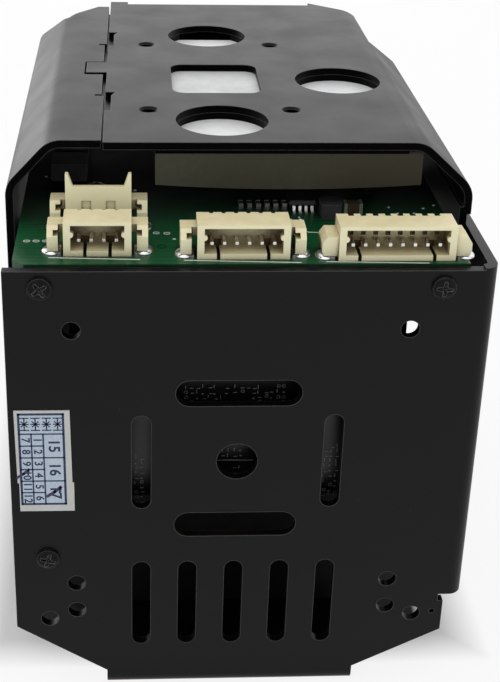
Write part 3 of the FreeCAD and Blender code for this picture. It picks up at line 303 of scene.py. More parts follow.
def black_steel():
    """Matt black powder coat with orange peel and thin bright edges.

    Its thin bright edges are partly wear and partly painted highlight, and painted shade makes it darker,
    with dimmer reflections, inside, below and on cut faces.
    """
    made, g = new_material("black_steel")
    cloud = g.noise(6 * mm, detail=4.0)
    peel = g.noise(0.18 * mm)
    # Lighter sharp edges above the base: partly edge wear, partly painted highlight
    edge_wear_and_highlight = g.math("MULTIPLY", g.edges(edge_reach, *edge_bend), g.along("Z", *wear_and_highlight_from_z))
    # Painted shade masks: sides of the roof, rear faces inside the plate, hollows and faces that point down
    roof_sides = g.math("MULTIPLY", g.facing("Z", *facing_side), g.along("Z", *roof_from_z))
    rear_cuts = g.math("MULTIPLY", g.facing("Y", *facing_rear), g.along("Y", *inner_from_y))
    hollows = g.math("MAXIMUM", g.crevice(*corner_hollow), g.crevice(*case_hollow))
    cuts = g.math("MAXIMUM", g.math("MAXIMUM", roof_sides, rear_cuts), g.facing("Z", *facing_down))
    dark = g.math("MAXIMUM", hollows, cuts)
    dust = g.spread(g.cells(2.6 * mm), 0.012, 0.03, 1.0, 0.0)
    base = g.blend(cloud, colour(0.0016, 0.0018, 0.0021), colour(0.0032, 0.0035, 0.0038))
    # Painted shade darkens the colour here and dims the reflections below
    base = g.blend(dark, base, grey(0.0005))
    base = g.blend(edge_wear_and_highlight, base, colour(0.12, 0.125, 0.13))
    base = g.blend(dust, base, grey(0.05))
    g.finish(Base_Color=base, Roughness=g.vary(cloud, 0.34, 0.42),
             Normal=g.rounded(0.10 * mm, peel, 0.004 * mm, 0.5),
             Specular_IOR_Level=0.165, Specular_Tint=g.blend(dark, grey(1.0), grey(0.15)))
    return made


def silver_plate():
    """Bright brushed sheet with dark specks; painted shade makes all but its upward faces near black, with
    dim reflections.
    """
    made, g = new_material("silver_plate")
    cloud = g.noise(2.5 * mm, detail=5.0, roughness=0.65)
    specks = g.spread(g.cells(0.7 * mm), 0.05, 0.11)
    scratch = g.noise(0.25 * mm, detail=3.0, roughness=0.6, stretch=(1.0, 6.0, 1.0))
    flat = g.facing("Z", *facing_up)
    base = g.blend(g.spread(cloud, 0.35, 0.7), colour(0.62, 0.63, 0.62), colour(0.50, 0.52, 0.52))
    base = g.blend(specks, colour(0.26, 0.25, 0.24), base)
    # Painted shade: all but the upward faces near black, with dimmed reflections
    base = g.blend(flat, grey(0.001), base)
    g.finish(Base_Color=base, Metallic=0.10, Roughness=g.spread(scratch, 0.35, 0.65, 0.45, 0.60),
             Normal=g.bump(scratch, 0.006 * mm, 0.3), Specular_IOR_Level=0.3,
             Specular_Tint=g.blend(flat, grey(0.08), grey(1.0)))
    return made


def spreader():
    """Olive to brown face, mottled with warmer and cooler patches and dull specks; its upward faces are
    painted near white as painted light.
    """
    made, g = new_material("spreader")
    patch = g.noise(7 * mm, detail=3.0, roughness=0.55, stretch=(0.5, 1.0, 1.0))
    mottle = g.noise(0.9 * mm, detail=4.0, roughness=0.7)
    specks = g.spread(g.cells(1.3 * mm), 0.04, 0.10)
    side = g.along("X", spreader_low.x, spreader_high.x)
    shift = g.math("ADD", side, g.vary(patch, -0.25, 0.25))
    base = g.blend(shift, colour(0.062, 0.064, 0.044), colour(0.040, 0.033, 0.016))
    base = g.blend(g.spread(mottle, 0.35, 0.75, 0.0, 0.6), base, colour(0.038, 0.035, 0.022))
    base = g.blend(specks, colour(0.02, 0.018, 0.012), base)
    # Painted light: the upward faces near white
    cloud = g.noise(2.5 * mm, detail=5.0, roughness=0.65)
    top = g.blend(g.spread(cloud, 0.35, 0.7), colour(0.82, 0.83, 0.83), colour(0.72, 0.74, 0.75))
    base = g.blend(g.facing("Z", *facing_up), base, top)
    g.finish(Base_Color=base, Metallic=0.10, Roughness=0.50, Normal=g.bump(mottle, 0.01 * mm, 0.5),
             Specular_IOR_Level=0.35)
    return made


# Copper runs under the solder mask, as courses of bricks, and the part of Y over which painted shade
# darkens the board under the roof
lane_scale = 420.0
lane_gap = 0.045
lane_length = 1.9
lane_height = 0.32
lane_share = 0.35
board_painted_shade_y = (-34 * mm, -24 * mm)


def board_mask(name, base_low, base_high, trace, painted_shade_y=None):
    """Solder mask over a glass cloth: copper runs show a little lighter and stand slightly proud. Painted
    shade darkens it in hollows and, where a part of Y is given, over that part under the roof.
    """
    made, g = new_material(name)
    cloud = g.noise(5 * mm, detail=3.0)
    weave = g.noise(0.12 * mm, detail=1.0)
    lanes = g.add("ShaderNodeTexBrick", {
        "Vector": g.place(), "Scale": lane_scale, "Mortar Size": lane_gap, "Brick Width": lane_length,
        "Row Height": lane_height, "Color1": grey(0.0), "Color2": grey(0.25), "Mortar": grey(1.0)})
    copper = g.spread(lanes.outputs["Fac"], 0.0, 1.0)
    base = g.mottle(cloud, base_low, base_high)
    base = g.blend(g.math("MULTIPLY", copper, lane_share), base, trace)
    # Painted shade in hollows
    base = g.blend(g.crevice(1.2 * mm, 0.30, 0.85), base, grey(0.0015))
    rough = g.vary(cloud, 0.26, 0.38)
    inputs = {"Normal": g.bump(g.math("ADD", copper, weave), 0.01 * mm, 0.35), "Specular_IOR_Level": 0.4}
    # Painted shade over the given part of Y, with rougher, dimmer reflections
    if painted_shade_y:
        dark = g.along("Y", *painted_shade_y)
        base = g.blend(dark, base, colour(0.0012, 0.0022, 0.0014))
        rough = g.math("ADD", rough, g.math("MULTIPLY", dark, 0.40))
        inputs["Specular_Tint"] = g.blend(dark, grey(1.0), grey(0.25))
    g.finish(Base_Color=base, Roughness=rough, **inputs)
    return made


def board():
    return board_mask("board", colour(0.003, 0.046, 0.014), colour(0.005, 0.078, 0.024),
                      colour(0.010, 0.13, 0.045), board_painted_shade_y)


def dark_board():
    return board_mask("dark_board", colour(0.0008, 0.0016, 0.0012), colour(0.0012, 0.0026, 0.0018),
                      colour(0.002, 0.005, 0.003))


# Painted highlights on edges and rear faces, and painted shade in hollows, of moulded plastic: a hollow
# counts half where it faces up
plastic_edge = (0.07 * mm, 0.80, 0.99)
plastic_rear = (-0.50, -0.90)
plastic_hollow = (2.8 * mm, 0.34, 0.68)
plastic_hollow_up = (1.60, 0.40)


def plastic(name, low, high, roughness, specular=0.4, subsurface=0.0, grain_size=0.08 * mm,
            edge_highlight=None, rear=None, deep=None):
    """Moulded plastic with a faint cloud of colour and a fine texture.

    Where their colours are given, edges get a painted highlight, faces towards the rear painted light and
    hollows painted shade.
    """
    made, g = new_material(name)
    cloud = g.noise(1.6 * mm, detail=3.0)
    grain = g.noise(grain_size)
    base = g.mottle(cloud, low, high)
    # Painted highlight along the edges
    if edge_highlight:
        base = g.blend(g.edges(*plastic_edge), base, edge_highlight)
    # Painted light: faces towards the rear lighter
    if rear:
        base = g.blend(g.facing("Y", *plastic_rear), base, rear)
    # Painted shade in hollows
    if deep:
        hollow = g.math("MULTIPLY", g.crevice(*plastic_hollow), g.facing("Z", *plastic_hollow_up))
        base = g.blend(hollow, base, deep)
    inputs = {"Base_Color": base, "Roughness": g.vary(grain, roughness - 0.05, roughness + 0.06),
              "Normal": g.bump(grain, 0.004 * mm, 0.35), "Specular_IOR_Level": specular}
    if subsurface:
        inputs.update(Subsurface_Weight=subsurface, Subsurface_Scale=0.4 * mm,
                      Subsurface_Radius=(1.0, 0.65, 0.3))
    g.finish(**inputs)
    return made


def cream_plastic():
    # Its rear colour is painted light and its deep colour is painted shade
    return plastic("cream_plastic", colour(0.72, 0.63, 0.37), colour(0.79, 0.71, 0.45), roughness=0.40,
                   subsurface=0.10, grain_size=0.1 * mm, edge_highlight=colour(0.93, 0.90, 0.70),
                   rear=colour(0.95, 0.90, 0.61), deep=colour(0.11, 0.066, 0.017))


def black_plastic():
    return plastic("black_plastic", colour(0.005, 0.005, 0.0055), colour(0.009, 0.009, 0.0095),
                   roughness=0.52, specular=0.18)


def chip_plastic():
    return plastic("chip_plastic", colour(0.010, 0.010, 0.010), colour(0.020, 0.019, 0.018),
                   roughness=0.50, edge_highlight=grey(0.07))


def ferrite():
    return plastic("ferrite", colour(0.022, 0.022, 0.024), colour(0.045, 0.044, 0.046),
                   roughness=0.62, specular=0.35, grain_size=0.05 * mm, edge_highlight=grey(0.16))


def ceramic():
    return plastic("ceramic", colour(0.045, 0.026, 0.014), colour(0.080, 0.048, 0.026),
                   roughness=0.34, specular=0.5)


def pad():
    return plastic("pad", colour(0.33, 0.36, 0.40), colour(0.42, 0.46, 0.50),
                   roughness=0.70, specular=0.3, subsurface=0.05)


def metal(name, low, high, roughness, grain=(1, 1, 1), size=0.12 * mm):
    """Bare or plated metal: its grain is finer along an axis with a larger factor."""
    made, g = new_material(name)
    streak = g.noise(size, detail=3.0, roughness=0.6, stretch=grain)
    cloud = g.noise(1.5 * mm)
    g.finish(Base_Color=g.mottle(cloud, low, high), Metallic=1.0,
             Roughness=g.vary(streak, roughness - 0.06, roughness + 0.08),
             Normal=g.bump(streak, 0.002 * mm, 0.5))
    return made


def tinned_metal():
    return metal("tinned_metal", colour(0.72, 0.70, 0.66), colour(0.86, 0.85, 0.82), roughness=0.24)


def brass():
    return metal("brass", colour(0.62, 0.45, 0.18), colour(0.76, 0.58, 0.27), roughness=0.30,
                 grain=(1, 1, 5), size=0.2 * mm)


def steel():
    return metal("steel", colour(0.50, 0.50, 0.51), colour(0.64, 0.64, 0.65), roughness=0.24,
                 grain=(5, 1, 5), size=0.2 * mm)


def black_screw():
    """Black zinc: a thin dark coat, with a painted highlight along its sharp edges."""
    made, g = new_material("black_screw")
    cloud = g.noise(0.5 * mm, detail=3.0)
    # Painted highlight along the sharp edges
    edge_wear_and_highlight = g.edges(0.10 * mm, 0.75, 0.99)
    base = g.mottle(cloud, colour(0.003, 0.003, 0.0035), colour(0.008, 0.008, 0.009))
    base = g.blend(edge_wear_and_highlight, base, colour(0.20, 0.20, 0.21))
    g.finish(Base_Color=base, Metallic=0.35, Roughness=g.vary(cloud, 0.22, 0.34), Specular_IOR_Level=0.14)
    return made


def ring_metal():
    """Satin black turned ring with fine tool marks."""
    made, g = new_material("ring_metal")
    marks = g.noise(0.1 * mm, stretch=(0.3, 6.0, 0.3))
    base = g.mottle(marks, colour(0.009, 0.009, 0.010), colour(0.014, 0.014, 0.015))
    # Painted highlight along the sharp edges
    base = g.blend(g.edges(edge_reach, *edge_bend), base, colour(0.15, 0.15, 0.155))
    g.finish(Base_Color=base, Metallic=0.2, Roughness=g.vary(marks, 0.28, 0.38),
             Normal=g.bump(marks, 0.004 * mm, 0.4))
    return made


def paper():
    """Pale grey label stock with a faint fibre."""
    made, g = new_material("paper")
    fibre = g.noise(0.25 * mm, detail=4.0, roughness=0.7)
    base = g.mottle(g.noise(3 * mm), colour(0.53, 0.54, 0.52), colour(0.59, 0.60, 0.60))
    g.finish(Base_Color=base, Roughness=0.62, Normal=g.bump(fibre, 0.006 * mm, 0.4), Specular_IOR_Level=0.3)
    return made


glass_mirror = colour(0.12, 0.14, 0.25)
glass_rim = 0.35
coat_share = (0.010, 0.22)


def glass(name, tint, coating):
    """Coated glass: clear through its face, with a coloured sheen that grows towards its rim."""
    made, g = new_material(name)
    fresnel = g.add("ShaderNodeLayerWeight", {"Blend": glass_rim}).outputs["Facing"]
    smear = g.noise(4 * mm)
    shade = g.blend(g.vary(smear, 0.0, 0.12), tint, grey(0.9))
    body = g.add("ShaderNodeBsdfPrincipled", {"Base Color": shade, "Roughness": 0.02, "IOR": 1.5,
                                              "Transmission Weight": 1.0, "Specular Tint": glass_mirror})
    coat = g.add("ShaderNodeBsdfGlossy", {"Color": coating, "Roughness": 0.05})
    factor = g.spread(fresnel, 0.0, 1.0, *coat_share)
    g.end(g.add("ShaderNodeMixShader", {0: factor, 1: body.outputs[0], 2: coat.outputs[0]}))
    return made


def lens_glass():
    return glass("lens_glass", colour(0.84, 0.90, 0.95), colour(0.30, 0.34, 0.95))


def filter_glass():
    return glass("filter_glass", colour(0.35, 0.72, 0.75), colour(0.9, 0.4, 0.5))


def sensor_face():
    """Dark silicon under glass, between blue green and violet."""
    made, g = new_material("sensor_face")
    base = g.mottle(g.noise(1.2 * mm), colour(0.02, 0.05, 0.06), colour(0.06, 0.03, 0.08))
    g.finish(Base_Color=base, Roughness=0.12, Metallic=0.4)
    return made


def ribbon():
    """Amber film with copper runs along it."""
    made, g = new_material("ribbon")
    runs = g.noise(0.3 * mm, detail=1.0, stretch=(1, 0.02, 0.02))
    base = g.blend(g.spread(runs, 0.42, 0.58), colour(0.30, 0.12, 0.02), colour(0.50, 0.24, 0.06))
    g.finish(Base_Color=base, Roughness=0.32)
    return made


def ink(name, low, high, roughness=0.5):
    """Printed ink with slightly uneven cover."""
    made, g = new_material(name)
    cover = g.noise(0.2 * mm, detail=3.0)
    g.finish(Base_Color=g.mottle(cover, low, high), Roughness=roughness,
             Normal=g.bump(cover, 0.002 * mm, 0.3))
    return made


slot_materials = {
    "black_steel": black_steel(), "silver_plate": silver_plate(), "spreader": spreader(),
    "pad": pad(), "board": board(), "dark_board": dark_board(), "cream_plastic": cream_plastic(),
    "black_plastic": black_plastic(), "tinned_metal": tinned_metal(), "chip_plastic": chip_plastic(),
    "ferrite": ferrite(), "ceramic": ceramic(), "brass": brass(), "black_screw": black_screw(),
    "paper": paper(), "steel": steel(), "lens_glass": lens_glass(), "filter_glass": filter_glass(),
    "ring_metal": ring_metal(), "sensor_face": sensor_face(), "ribbon": ribbon(),
}
white_ink = ink("white_ink", colour(0.62, 0.64, 0.62), colour(0.78, 0.80, 0.78))
dim_ink = ink("dim_ink", colour(0.10, 0.11, 0.11), colour(0.22, 0.23, 0.23))
blue_ink = ink("blue_ink", colour(0.002, 0.010, 0.050), colour(0.005, 0.020, 0.085))
pale_ink = ink("pale_ink", colour(0.40, 0.50, 0.62), colour(0.52, 0.60, 0.68))
solder = metal("solder", colour(0.80, 0.80, 0.79), colour(0.93, 0.93, 0.92), roughness=0.30)
resist = ink("resist", colour(0.010, 0.010, 0.011), colour(0.024, 0.023, 0.022), roughness=0.35)
pen_ink = ink("pen_ink", colour(0.02, 0.012, 0.06), colour(0.03, 0.018, 0.09), roughness=0.3)

slot_nodes = {
    "black_steel": ("chassis", "left_cover", "top_bracket"),
    "silver_plate": ("inner_plate",),
    "spreader": ("heat_spreader",),
    "pad": ("thermal_pad",),
    "board": ("network_board",),
    "dark_board": ("control_board", "sensor_board"),
    "black_plastic": ("board_header", "lens_housing", "rear_frame", "zoom_carriage", "focus_carriage",
                      "relay_holder", "front_barrel", "filter_slide", "filter_actuator",
                      "ribbon_sockets"),
    "chip_plastic": ("network_chip", "driver_chip", "chip_resistors"),
    "ferrite": ("power_inductors",),
    "ceramic": ("ceramic_capacitors",),
    "tinned_metal": ("clock_crystal",) + tuple(side + "_connector_" + part for side in connectors
                                               for part in ("pins", "nails")),
    "cream_plastic": tuple(side + "_connector_housing" for side in connectors),
    "brass": ("board_standoffs", "control_spacers", "plate_posts"),
    "black_screw": ("board_screws", "plate_screws", "base_screws", "case_screws"),
    "paper": ("date_label",),
    "steel": ("guide_rods", "zoom_motor", "focus_motor", "zoom_lead_screw", "focus_lead_screw"),
    "lens_glass": ("zoom_lens", "focus_lens", "relay_lens", "front_lens", "clear_filter"),
    "filter_glass": ("infrared_filter",),
    "ring_metal": ("front_ring",),
    "sensor_face": ("image_sensor",),
    "ribbon": ("ribbon_cable",),
}


def dress_nodes():
    for slot, names in slot_nodes.items():
        for name in names:
            materials = nodes[name].data.materials
            materials.clear()
            materials.append(slot_materials[slot])


def soften(name):
    """Rounds a solid's sharp edges by a small bevel that keeps its faces where they are."""
    node = nodes[name]
    weld = node.modifiers.new("weld", "WELD")
    weld.merge_threshold = weld_distance
    bevel = node.modifiers.new("bevel", "BEVEL")
    bevel.width = soft_width
    bevel.segments = 2
    bevel.limit_method = "ANGLE"
    bevel.angle_limit = soft_angle
    bevel.use_clamp_overlap = True
    bevel.harden_normals = False


def solids_of(name):
    """Lowest and highest corner of each separate solid in a node, from left to right."""
    mesh = bmesh.new()
    mesh.from_mesh(nodes[name].data)
    bmesh.ops.remove_doubles(mesh, verts=mesh.verts, dist=weld_distance)
    seen = set()
    boxes = []
    for start in mesh.verts:
        if start in seen:
            continue
        seen.add(start)
        group = [start]
        for vert in group:
            for edge in vert.link_edges:
                other = edge.other_vert(vert)
                if other not in seen:
                    seen.add(other)
                    group.append(other)
        low = Vector([min(vert.co[i] for vert in group) for i in range(3)])
        high = Vector([max(vert.co[i] for vert in group) for i in range(3)])
        boxes.append((low, high))
    mesh.free()
    return sorted(boxes, key=lambda corners: tuple(corners[0]))


def across(axis):
    """Unit vectors along an axis and at right angles to it."""
    along = Vector(axis).normalized()
    side = along.orthogonal().normalized()
    return along, side, along.cross(side)


def circle(steps):
    return [(math.cos(2 * math.pi * i / steps), math.sin(2 * math.pi * i / steps)) for i in range(steps)]


def scaled(points):
    """Points given in millimetres."""
    return [(x * mm, y * mm) for x, y in points]


# A screw head's cross recess and crown, as shares of the head's radius and height
recess_arm = 0.64
recess_half = 0.17
recess_depth = 0.62
recess_taper = 0.35
recess_wall = 0.3
crown_from = 0.45
crown_drop = 0.42
crown_power = 2.2
dome_foot = 0.04


class Shape:
    """Collects boxes, prisms, strokes, ringed forms and text into one mesh."""

    def __init__(self):
        self.mesh = bmesh.new()

    def box(self, low, high):
        corners = [(x, y, z) for x in (low[0], high[0]) for y in (low[1], high[1])
                   for z in (low[2], high[2])]
        v = [self.mesh.verts.new(c) for c in corners]
        for face in ((0, 1, 3, 2), (4, 6, 7, 5), (0, 4, 5, 1), (2, 3, 7, 6), (0, 2, 6, 4), (1, 5, 7, 3)):
            self.mesh.faces.new([v[i] for i in face])

    def prism(self, outline, direction):
        """Outline of points in space, pushed along a direction."""
        push = Vector(direction)
        near = [self.mesh.verts.new(p) for p in outline]
        far = [self.mesh.verts.new(Vector(p) + push) for p in outline]
        self.mesh.faces.new(near)
        self.mesh.faces.new(list(reversed(far)))
        for i in range(len(outline)):
            j = (i + 1) % len(outline)
            self.mesh.faces.new([near[j], near[i], far[i], far[j]])

    def stroke(self, points, width, place, push):
        """Flat line through points in a plane, placed in space and given a thickness."""
        for (x0, y0), (x1, y1) in zip(points, points[1:]):
            length = math.hypot(x1 - x0, y1 - y0) or 1.0
            ax, ay = (x1 - x0) / length * width / 2, (y1 - y0) / length * width / 2
            corners = [(x0 - ax - ay, y0 - ay + ax), (x0 - ax + ay, y0 - ay - ax),
                       (x1 + ax + ay, y1 + ay - ax), (x1 + ax - ay, y1 + ay + ax)]
            self.prism([place(*c) for c in corners], push)

    def rings(self, rows):
        """Skin over rows of points that each close on themselves, with a cap at both ends."""
        made = [[self.mesh.verts.new(p) for p in row] for row in rows]
        count = len(made[0])
        for low, high in zip(made, made[1:]):
            for i in range(count):
                j = (i + 1) % count
                self.mesh.faces.new([low[i], low[j], high[j], high[i]])
        self.mesh.faces.new(list(reversed(made[0])))
        self.mesh.faces.new(made[-1])

    def threaded(self, start, axis, length, radius, pitch, depth, steps=20, slices=6):
        """Rod whose radius follows the turn of a helix."""
        axis, side, other = across(axis)
        count = max(2, round(length / pitch * slices))
        rows = []
        for k in range(count + 1):
            along = length * k / count
            row = []
            for i, (x, y) in enumerate(circle(steps)):
                phase = (along / pitch - i / steps) % 1.0
                reach = radius - depth * (1 - abs(2 * phase - 1))
                row.append(Vector(start) + axis * along + (side * x + other * y) * reach)
            rows.append(row)
        self.rings(rows)

    def cross_head(self, centre, axis, radius, height, turn, steps=64, rows=16):
        """Pan head with a cross recess: its underside is centred on the point."""
        axis, side, other = across(axis)
        arm, half, depth = recess_arm * radius, recess_half * radius, recess_depth * height

        def rise(x, y):
            rim = max(0.0, (math.hypot(x, y) / radius - crown_from) / (1 - crown_from))
            level = height * (1 - crown_drop * rim ** crown_power)
            narrow, wide = sorted((abs(x), abs(y)))
            taper = 1 - recess_taper * wide / arm
            inside = min(half * taper - narrow, arm - wide)
            share = min(max(inside / (recess_wall * half), 0.0), 1.0)
            return level - depth * share * taper

        def point(x, y, z):
            a = x * math.cos(turn) - y * math.sin(turn)
            b = x * math.sin(turn) + y * math.cos(turn)
            return Vector(centre) + side * a + other * b + axis * z

        around = circle(steps)
        made = [[point(x * radius, y * radius, 0.0) for x, y in around]]
        for k in range(rows, 0, -1):
            reach = radius * k / rows
            made.append([point(x * reach, y * reach, rise(x * reach, y * reach)) for x, y in around])
        last = radius / rows / 3
        made.append([point(x * last, y * last, rise(0.0, 0.0)) for x, y in around])
        self.rings(made)

    def dome(self, centre, half_x, half_y, height, steps=20, rows=6):
        """Low drop lying on a flat face."""
        made = []
        for k in range(rows + 1):
            lean = 0.5 * math.pi * k / rows
            reach, level = math.cos(lean) + dome_foot, math.sin(lean) * height
            made.append([Vector(centre) + Vector((half_x * reach * x, half_y * reach * y, level))
                         for x, y in circle(steps)])
        self.rings(made)

    def text(self, words, size, place, push, weight):
        """Plain figures in a plane, placed in space and given a thickness."""
        curve = bpy.data.curves.new("figures", "FONT")
        curve.body = words
        curve.size = size
        curve.offset = size * weight
        curve.align_x = "CENTER"
        curve.align_y = "CENTER"
        curve.resolution_u = 3
        holder = linked("figures", curve)
        bpy.context.view_layer.update()
        shown = holder.evaluated_get(bpy.context.evaluated_depsgraph_get())
        flat = bpy.data.meshes.new_from_object(shown)
        for polygon in flat.polygons:
            corners = [flat.vertices[i].co for i in polygon.vertices]
            self.prism([place(corner.x, corner.y) for corner in corners], push)
        bpy.data.objects.remove(holder)
        bpy.data.curves.remove(curve)
        bpy.data.meshes.remove(flat)

    def thing(self, name, material):
        made = bpy.data.meshes.new(name)
        self.mesh.to_mesh(made)
        self.mesh.free()
        made.materials.append(material)
        return linked(name, made)

    def piece(self, name, material, slot, body="case", replaces=(), smooth=False):
        bmesh.ops.remove_doubles(self.mesh, verts=self.mesh.verts, dist=merge_distance)
        bmesh.ops.recalc_face_normals(self.mesh, faces=self.mesh.faces)
        piece = self.thing(name, material)
        for polygon in piece.data.polygons:
            polygon.use_smooth = smooth
        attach(piece, body)
        if replaces:
            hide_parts(*replaces)


# Date label: a sheet cut a little out of square, with a printed grid
label_lean = 0.13 * mm
label_step = 0.17 * mm
label_step_down = 8.75 * mm
label_overhang = 0.13 * mm
grid_left = 0.33 * mm
grid_width = 4.55 * mm
grid_top = 0.41 * mm
grid_bottom = 11.35 * mm
grid_lean = 0.10 * mm
grid_header = 2.35 * mm
grid_columns = (1.20, 1.20, 2.06)
grid_rows = 6
grid_years = ("15", "16", "17")
grid_frame_width = 0.24 * mm
grid_line_width = 0.16 * mm
figure_size = 1.18 * mm
year_size = 1.62 * mm
figure_weight = 0.022
header_marks = 4
star_reach = 0.42 * mm
star_width = 0.13 * mm
star_bar = 0.72 * mm
star_turns = (0.0, 0.25, 0.5, 0.75)
label_top = label_high.z
label_height = label_high.z - label_low.z

# Pen ticks: strokes and their widths as shares of a tick's size, and the two ticks' rows and sizes
tick_strokes = (
    (((-0.55, 0.30), (-0.05, -0.05), (0.35, -0.42)), 0.22),
    (((0.35, -0.42), (0.30, 0.02)), 0.15),
)
month_tick_inset = 0.35 * mm
month_tick_row = 3.4
month_tick_size = 1.3 * mm
year_tick_row = 2.5
year_tick_size = 1.5 * mm


def paper_point(u, v):
    """Point of the sheet from its left and top edges."""
    lean = label_lean * min(v / label_step_down, 1.0)
    return Vector((label_low.x - label_overhang + u + lean, label_low.y, label_top - v))


def grid_point(u, v):
    """Point of the print from the sheet's left and top edges."""
    return Vector((label_low.x + u + grid_lean * v / label_height, label_low.y, label_top - v))


def label_sheet():
    """Paper with a small step in both sides."""
    width = label_high.x - label_low.x
    outline = [(0, 0), (width, 0), (width, label_step_down), (width + label_step, label_step_down),
               (width + label_step, label_height), (label_step, label_height),
               (label_step, label_step_down), (0, label_step_down)]
    shape = Shape()
    shape.prism([paper_point(*corner) for corner in outline], (0, label_high.y - label_low.y, 0))
    shape.piece("label_paper", slot_materials["paper"], "paper", replaces=("date_label",))


def label_grid():
    """Blue frame on a pale blue field, ruled columns and rows, and plain numbers read from the side."""
    left, right = grid_left, grid_left + grid_width
    head = grid_top + grid_header
    row = (grid_bottom - head) / grid_rows
    year_row = (grid_bottom - head) / len(grid_years)
    lines = [left]
    for share in grid_columns:
        lines.append(lines[-1] + grid_width * share / sum(grid_columns))
    middles = [(low + high) / 2 for low, high in zip(lines, lines[1:])]
    field = Shape()
    corners = [(left, grid_top), (right, grid_top), (right, grid_bottom), (left, grid_bottom)]
    field.prism([grid_point(u, v) for u, v in corners], (0, -print_height / 2, 0))
    field.piece("label_field", pale_ink, "paper")

    shape = Shape()
    push = (0, -print_height, 0)

    def rule(*points):
        shape.stroke(points, grid_line_width, grid_point, push)

    shape.stroke(corners + corners[:1], grid_frame_width, grid_point, push)
    rule((left, head), (right, head))
    for u in lines[1:-1]:
        rule((u, head), (u, grid_bottom))
    for i in range(1, grid_rows):
        rule((left, head + i * row), (lines[2], head + i * row))
    for i in range(1, len(grid_years)):
        rule((lines[2], head + i * year_row), (right, head + i * year_row))

    def figures(words, u, v, size):
        shape.text(words, size, lambda x, y: grid_point(u + y, v + x), push, figure_weight)

    for i in range(grid_rows):
        v = head + (i + 0.5) * row
        figures(str(i + 1 + grid_rows), middles[0], v, figure_size)
        figures(str(i + 1), middles[1], v, figure_size)
    for i, year in enumerate(grid_years):
        figures(year, middles[2], head + (i + 0.5) * year_row, year_size)
    for i in range(header_marks):
        star(shape, left + grid_width * (i + 0.5) / header_marks, grid_top + grid_header / 2, push)
    shape.piece("label_print", blue_ink, "paper")

    pen = Shape()
    lifted = (0, -2 * print_height, 0)
    tick(pen, lines[0] + month_tick_inset, head + month_tick_row * row, month_tick_size, lifted)
    tick(pen, middles[2], head + year_tick_row * year_row, year_tick_size, lifted)
    pen.piece("label_ticks", pen_ink, "paper")


def star(shape, u, v, push):
    """Plain mark of crossing strokes between two bars."""
    for turn in star_turns:
        du, dv = star_reach * math.cos(math.pi * turn), star_reach * math.sin(math.pi * turn)
        shape.stroke([(u - du, v - dv), (u + du, v + dv)], star_width, grid_point, push)
    for side in (-1, 1):
        bar = v + side * star_bar
        shape.stroke([(u - star_reach, bar), (u + star_reach, bar)], star_width, grid_point, push)
        shape.stroke([(u, bar), (u, v + side * star_reach)], star_width, grid_point, push)


def tick(shape, u, v, size, push):
    for points, width in tick_strokes:
        run = [(u + x * size, v + y * size) for x, y in points]
        shape.stroke(run, width * size, grid_point, push)


# White print on the network board, as runs of (X, Y) in millimetres
silk_width = 0.17 * mm
silk_thin = 0.12 * mm
silk_lines = (
    ((-19.1, -42.25), (-10.2, -42.75)),
    ((-5.7, -42.95), (5.75, -43.55)),
    ((8.4, -43.35), (18.5, -43.75)),
    ((6.9, -32.0), (7.25, -36.0), (8.6, -36.2)),
)
silk_squares = ((-21.9, -38.4), (-20.95, -38.4), (-20.0, -38.4), (-8.7, -36.4), (-7.6, -36.5))
silk_square = (0.55, 0.42)
silk_dot = (-6.6, -37.75)
silk_dot_radius = 0.16 * mm
via_centre = (-7.9, -39.6)
via_radius = 0.42
via_steps = 24

# Solder: small joints as (X, Y) in millimetres, and the sizes of its drops
solder_dots = ((17.0, -29.3), (17.7, -31.0), (19.5, -31.0), (20.8, -29.6), (22.1, -28.8), (5.9, -32.6),
               (7.0, -32.6), (-20.7, -20.2), (-20.0, -20.5), (-10.6, -24.4))
solder_dot_radius = 0.20 * mm
solder_dot_height = 0.12 * mm
fillet_reach = 0.20 * mm
fillet_height = 0.46 * mm
pin_foot_inset = 0.35 * mm
pin_foot = (0.34 * mm, 0.62 * mm, 0.30 * mm)


def on_board(x, y):
    return Vector((x, y, board_top))


def board_print():
    """Lines under the connectors, small squares in place of words, a dot and the ring of a via."""
    shape = Shape()
    push = (0, 0, print_height)
    for run in silk_lines:
        shape.stroke(scaled(run), silk_width, on_board, push)
    wide, deep = silk_square
    for x, y in silk_squares:
        run = [(x, y), (x + wide, y), (x + wide, y + deep), (x, y + deep), (x, y)]
        shape.stroke(scaled(run), silk_thin, on_board, push)
    shape.dome(on_board(*scaled([silk_dot])[0]), silk_dot_radius, silk_dot_radius, print_height)
    shape.piece("board_print", white_ink, "board")
    ring = Shape()
    run = [(via_centre[0] + via_radius * x, via_centre[1] + via_radius * y) for x, y in circle(via_steps)]
    ring.stroke(scaled(run + run[:1]), silk_thin, on_board, push)
    ring.piece("board_via", resist, "board")


def board_solder():
    """Solder under the fitting nails, at the pins' feet and on small joints."""
    shape = Shape()
    for name in connectors:
        housing_low, housing_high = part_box(name + "_connector_housing")
        middle_x = (housing_low.x + housing_high.x) / 2
        for low, high in solids_of(name + "_connector_nails"):
            centre = (low + high) / 2
            outward = 1 if centre.x > middle_x else -1
            half_x = (high.x - low.x) / 2 + fillet_reach
            half_y = (high.y - low.y) / 2 + fillet_reach
            foot = on_board(centre.x + outward * fillet_reach, centre.y)
            shape.dome(foot, half_x, half_y, fillet_height)
        for low, high in solids_of(name + "_connector_pins"):
            shape.dome(on_board((low.x + high.x) / 2, high.y - pin_foot_inset), *pin_foot)
    for x, y in scaled(solder_dots):
        shape.dome(on_board(x, y), solder_dot_radius, solder_dot_radius, solder_dot_height)
    shape.piece("board_solder", solder, "tinned_metal", smooth=True)


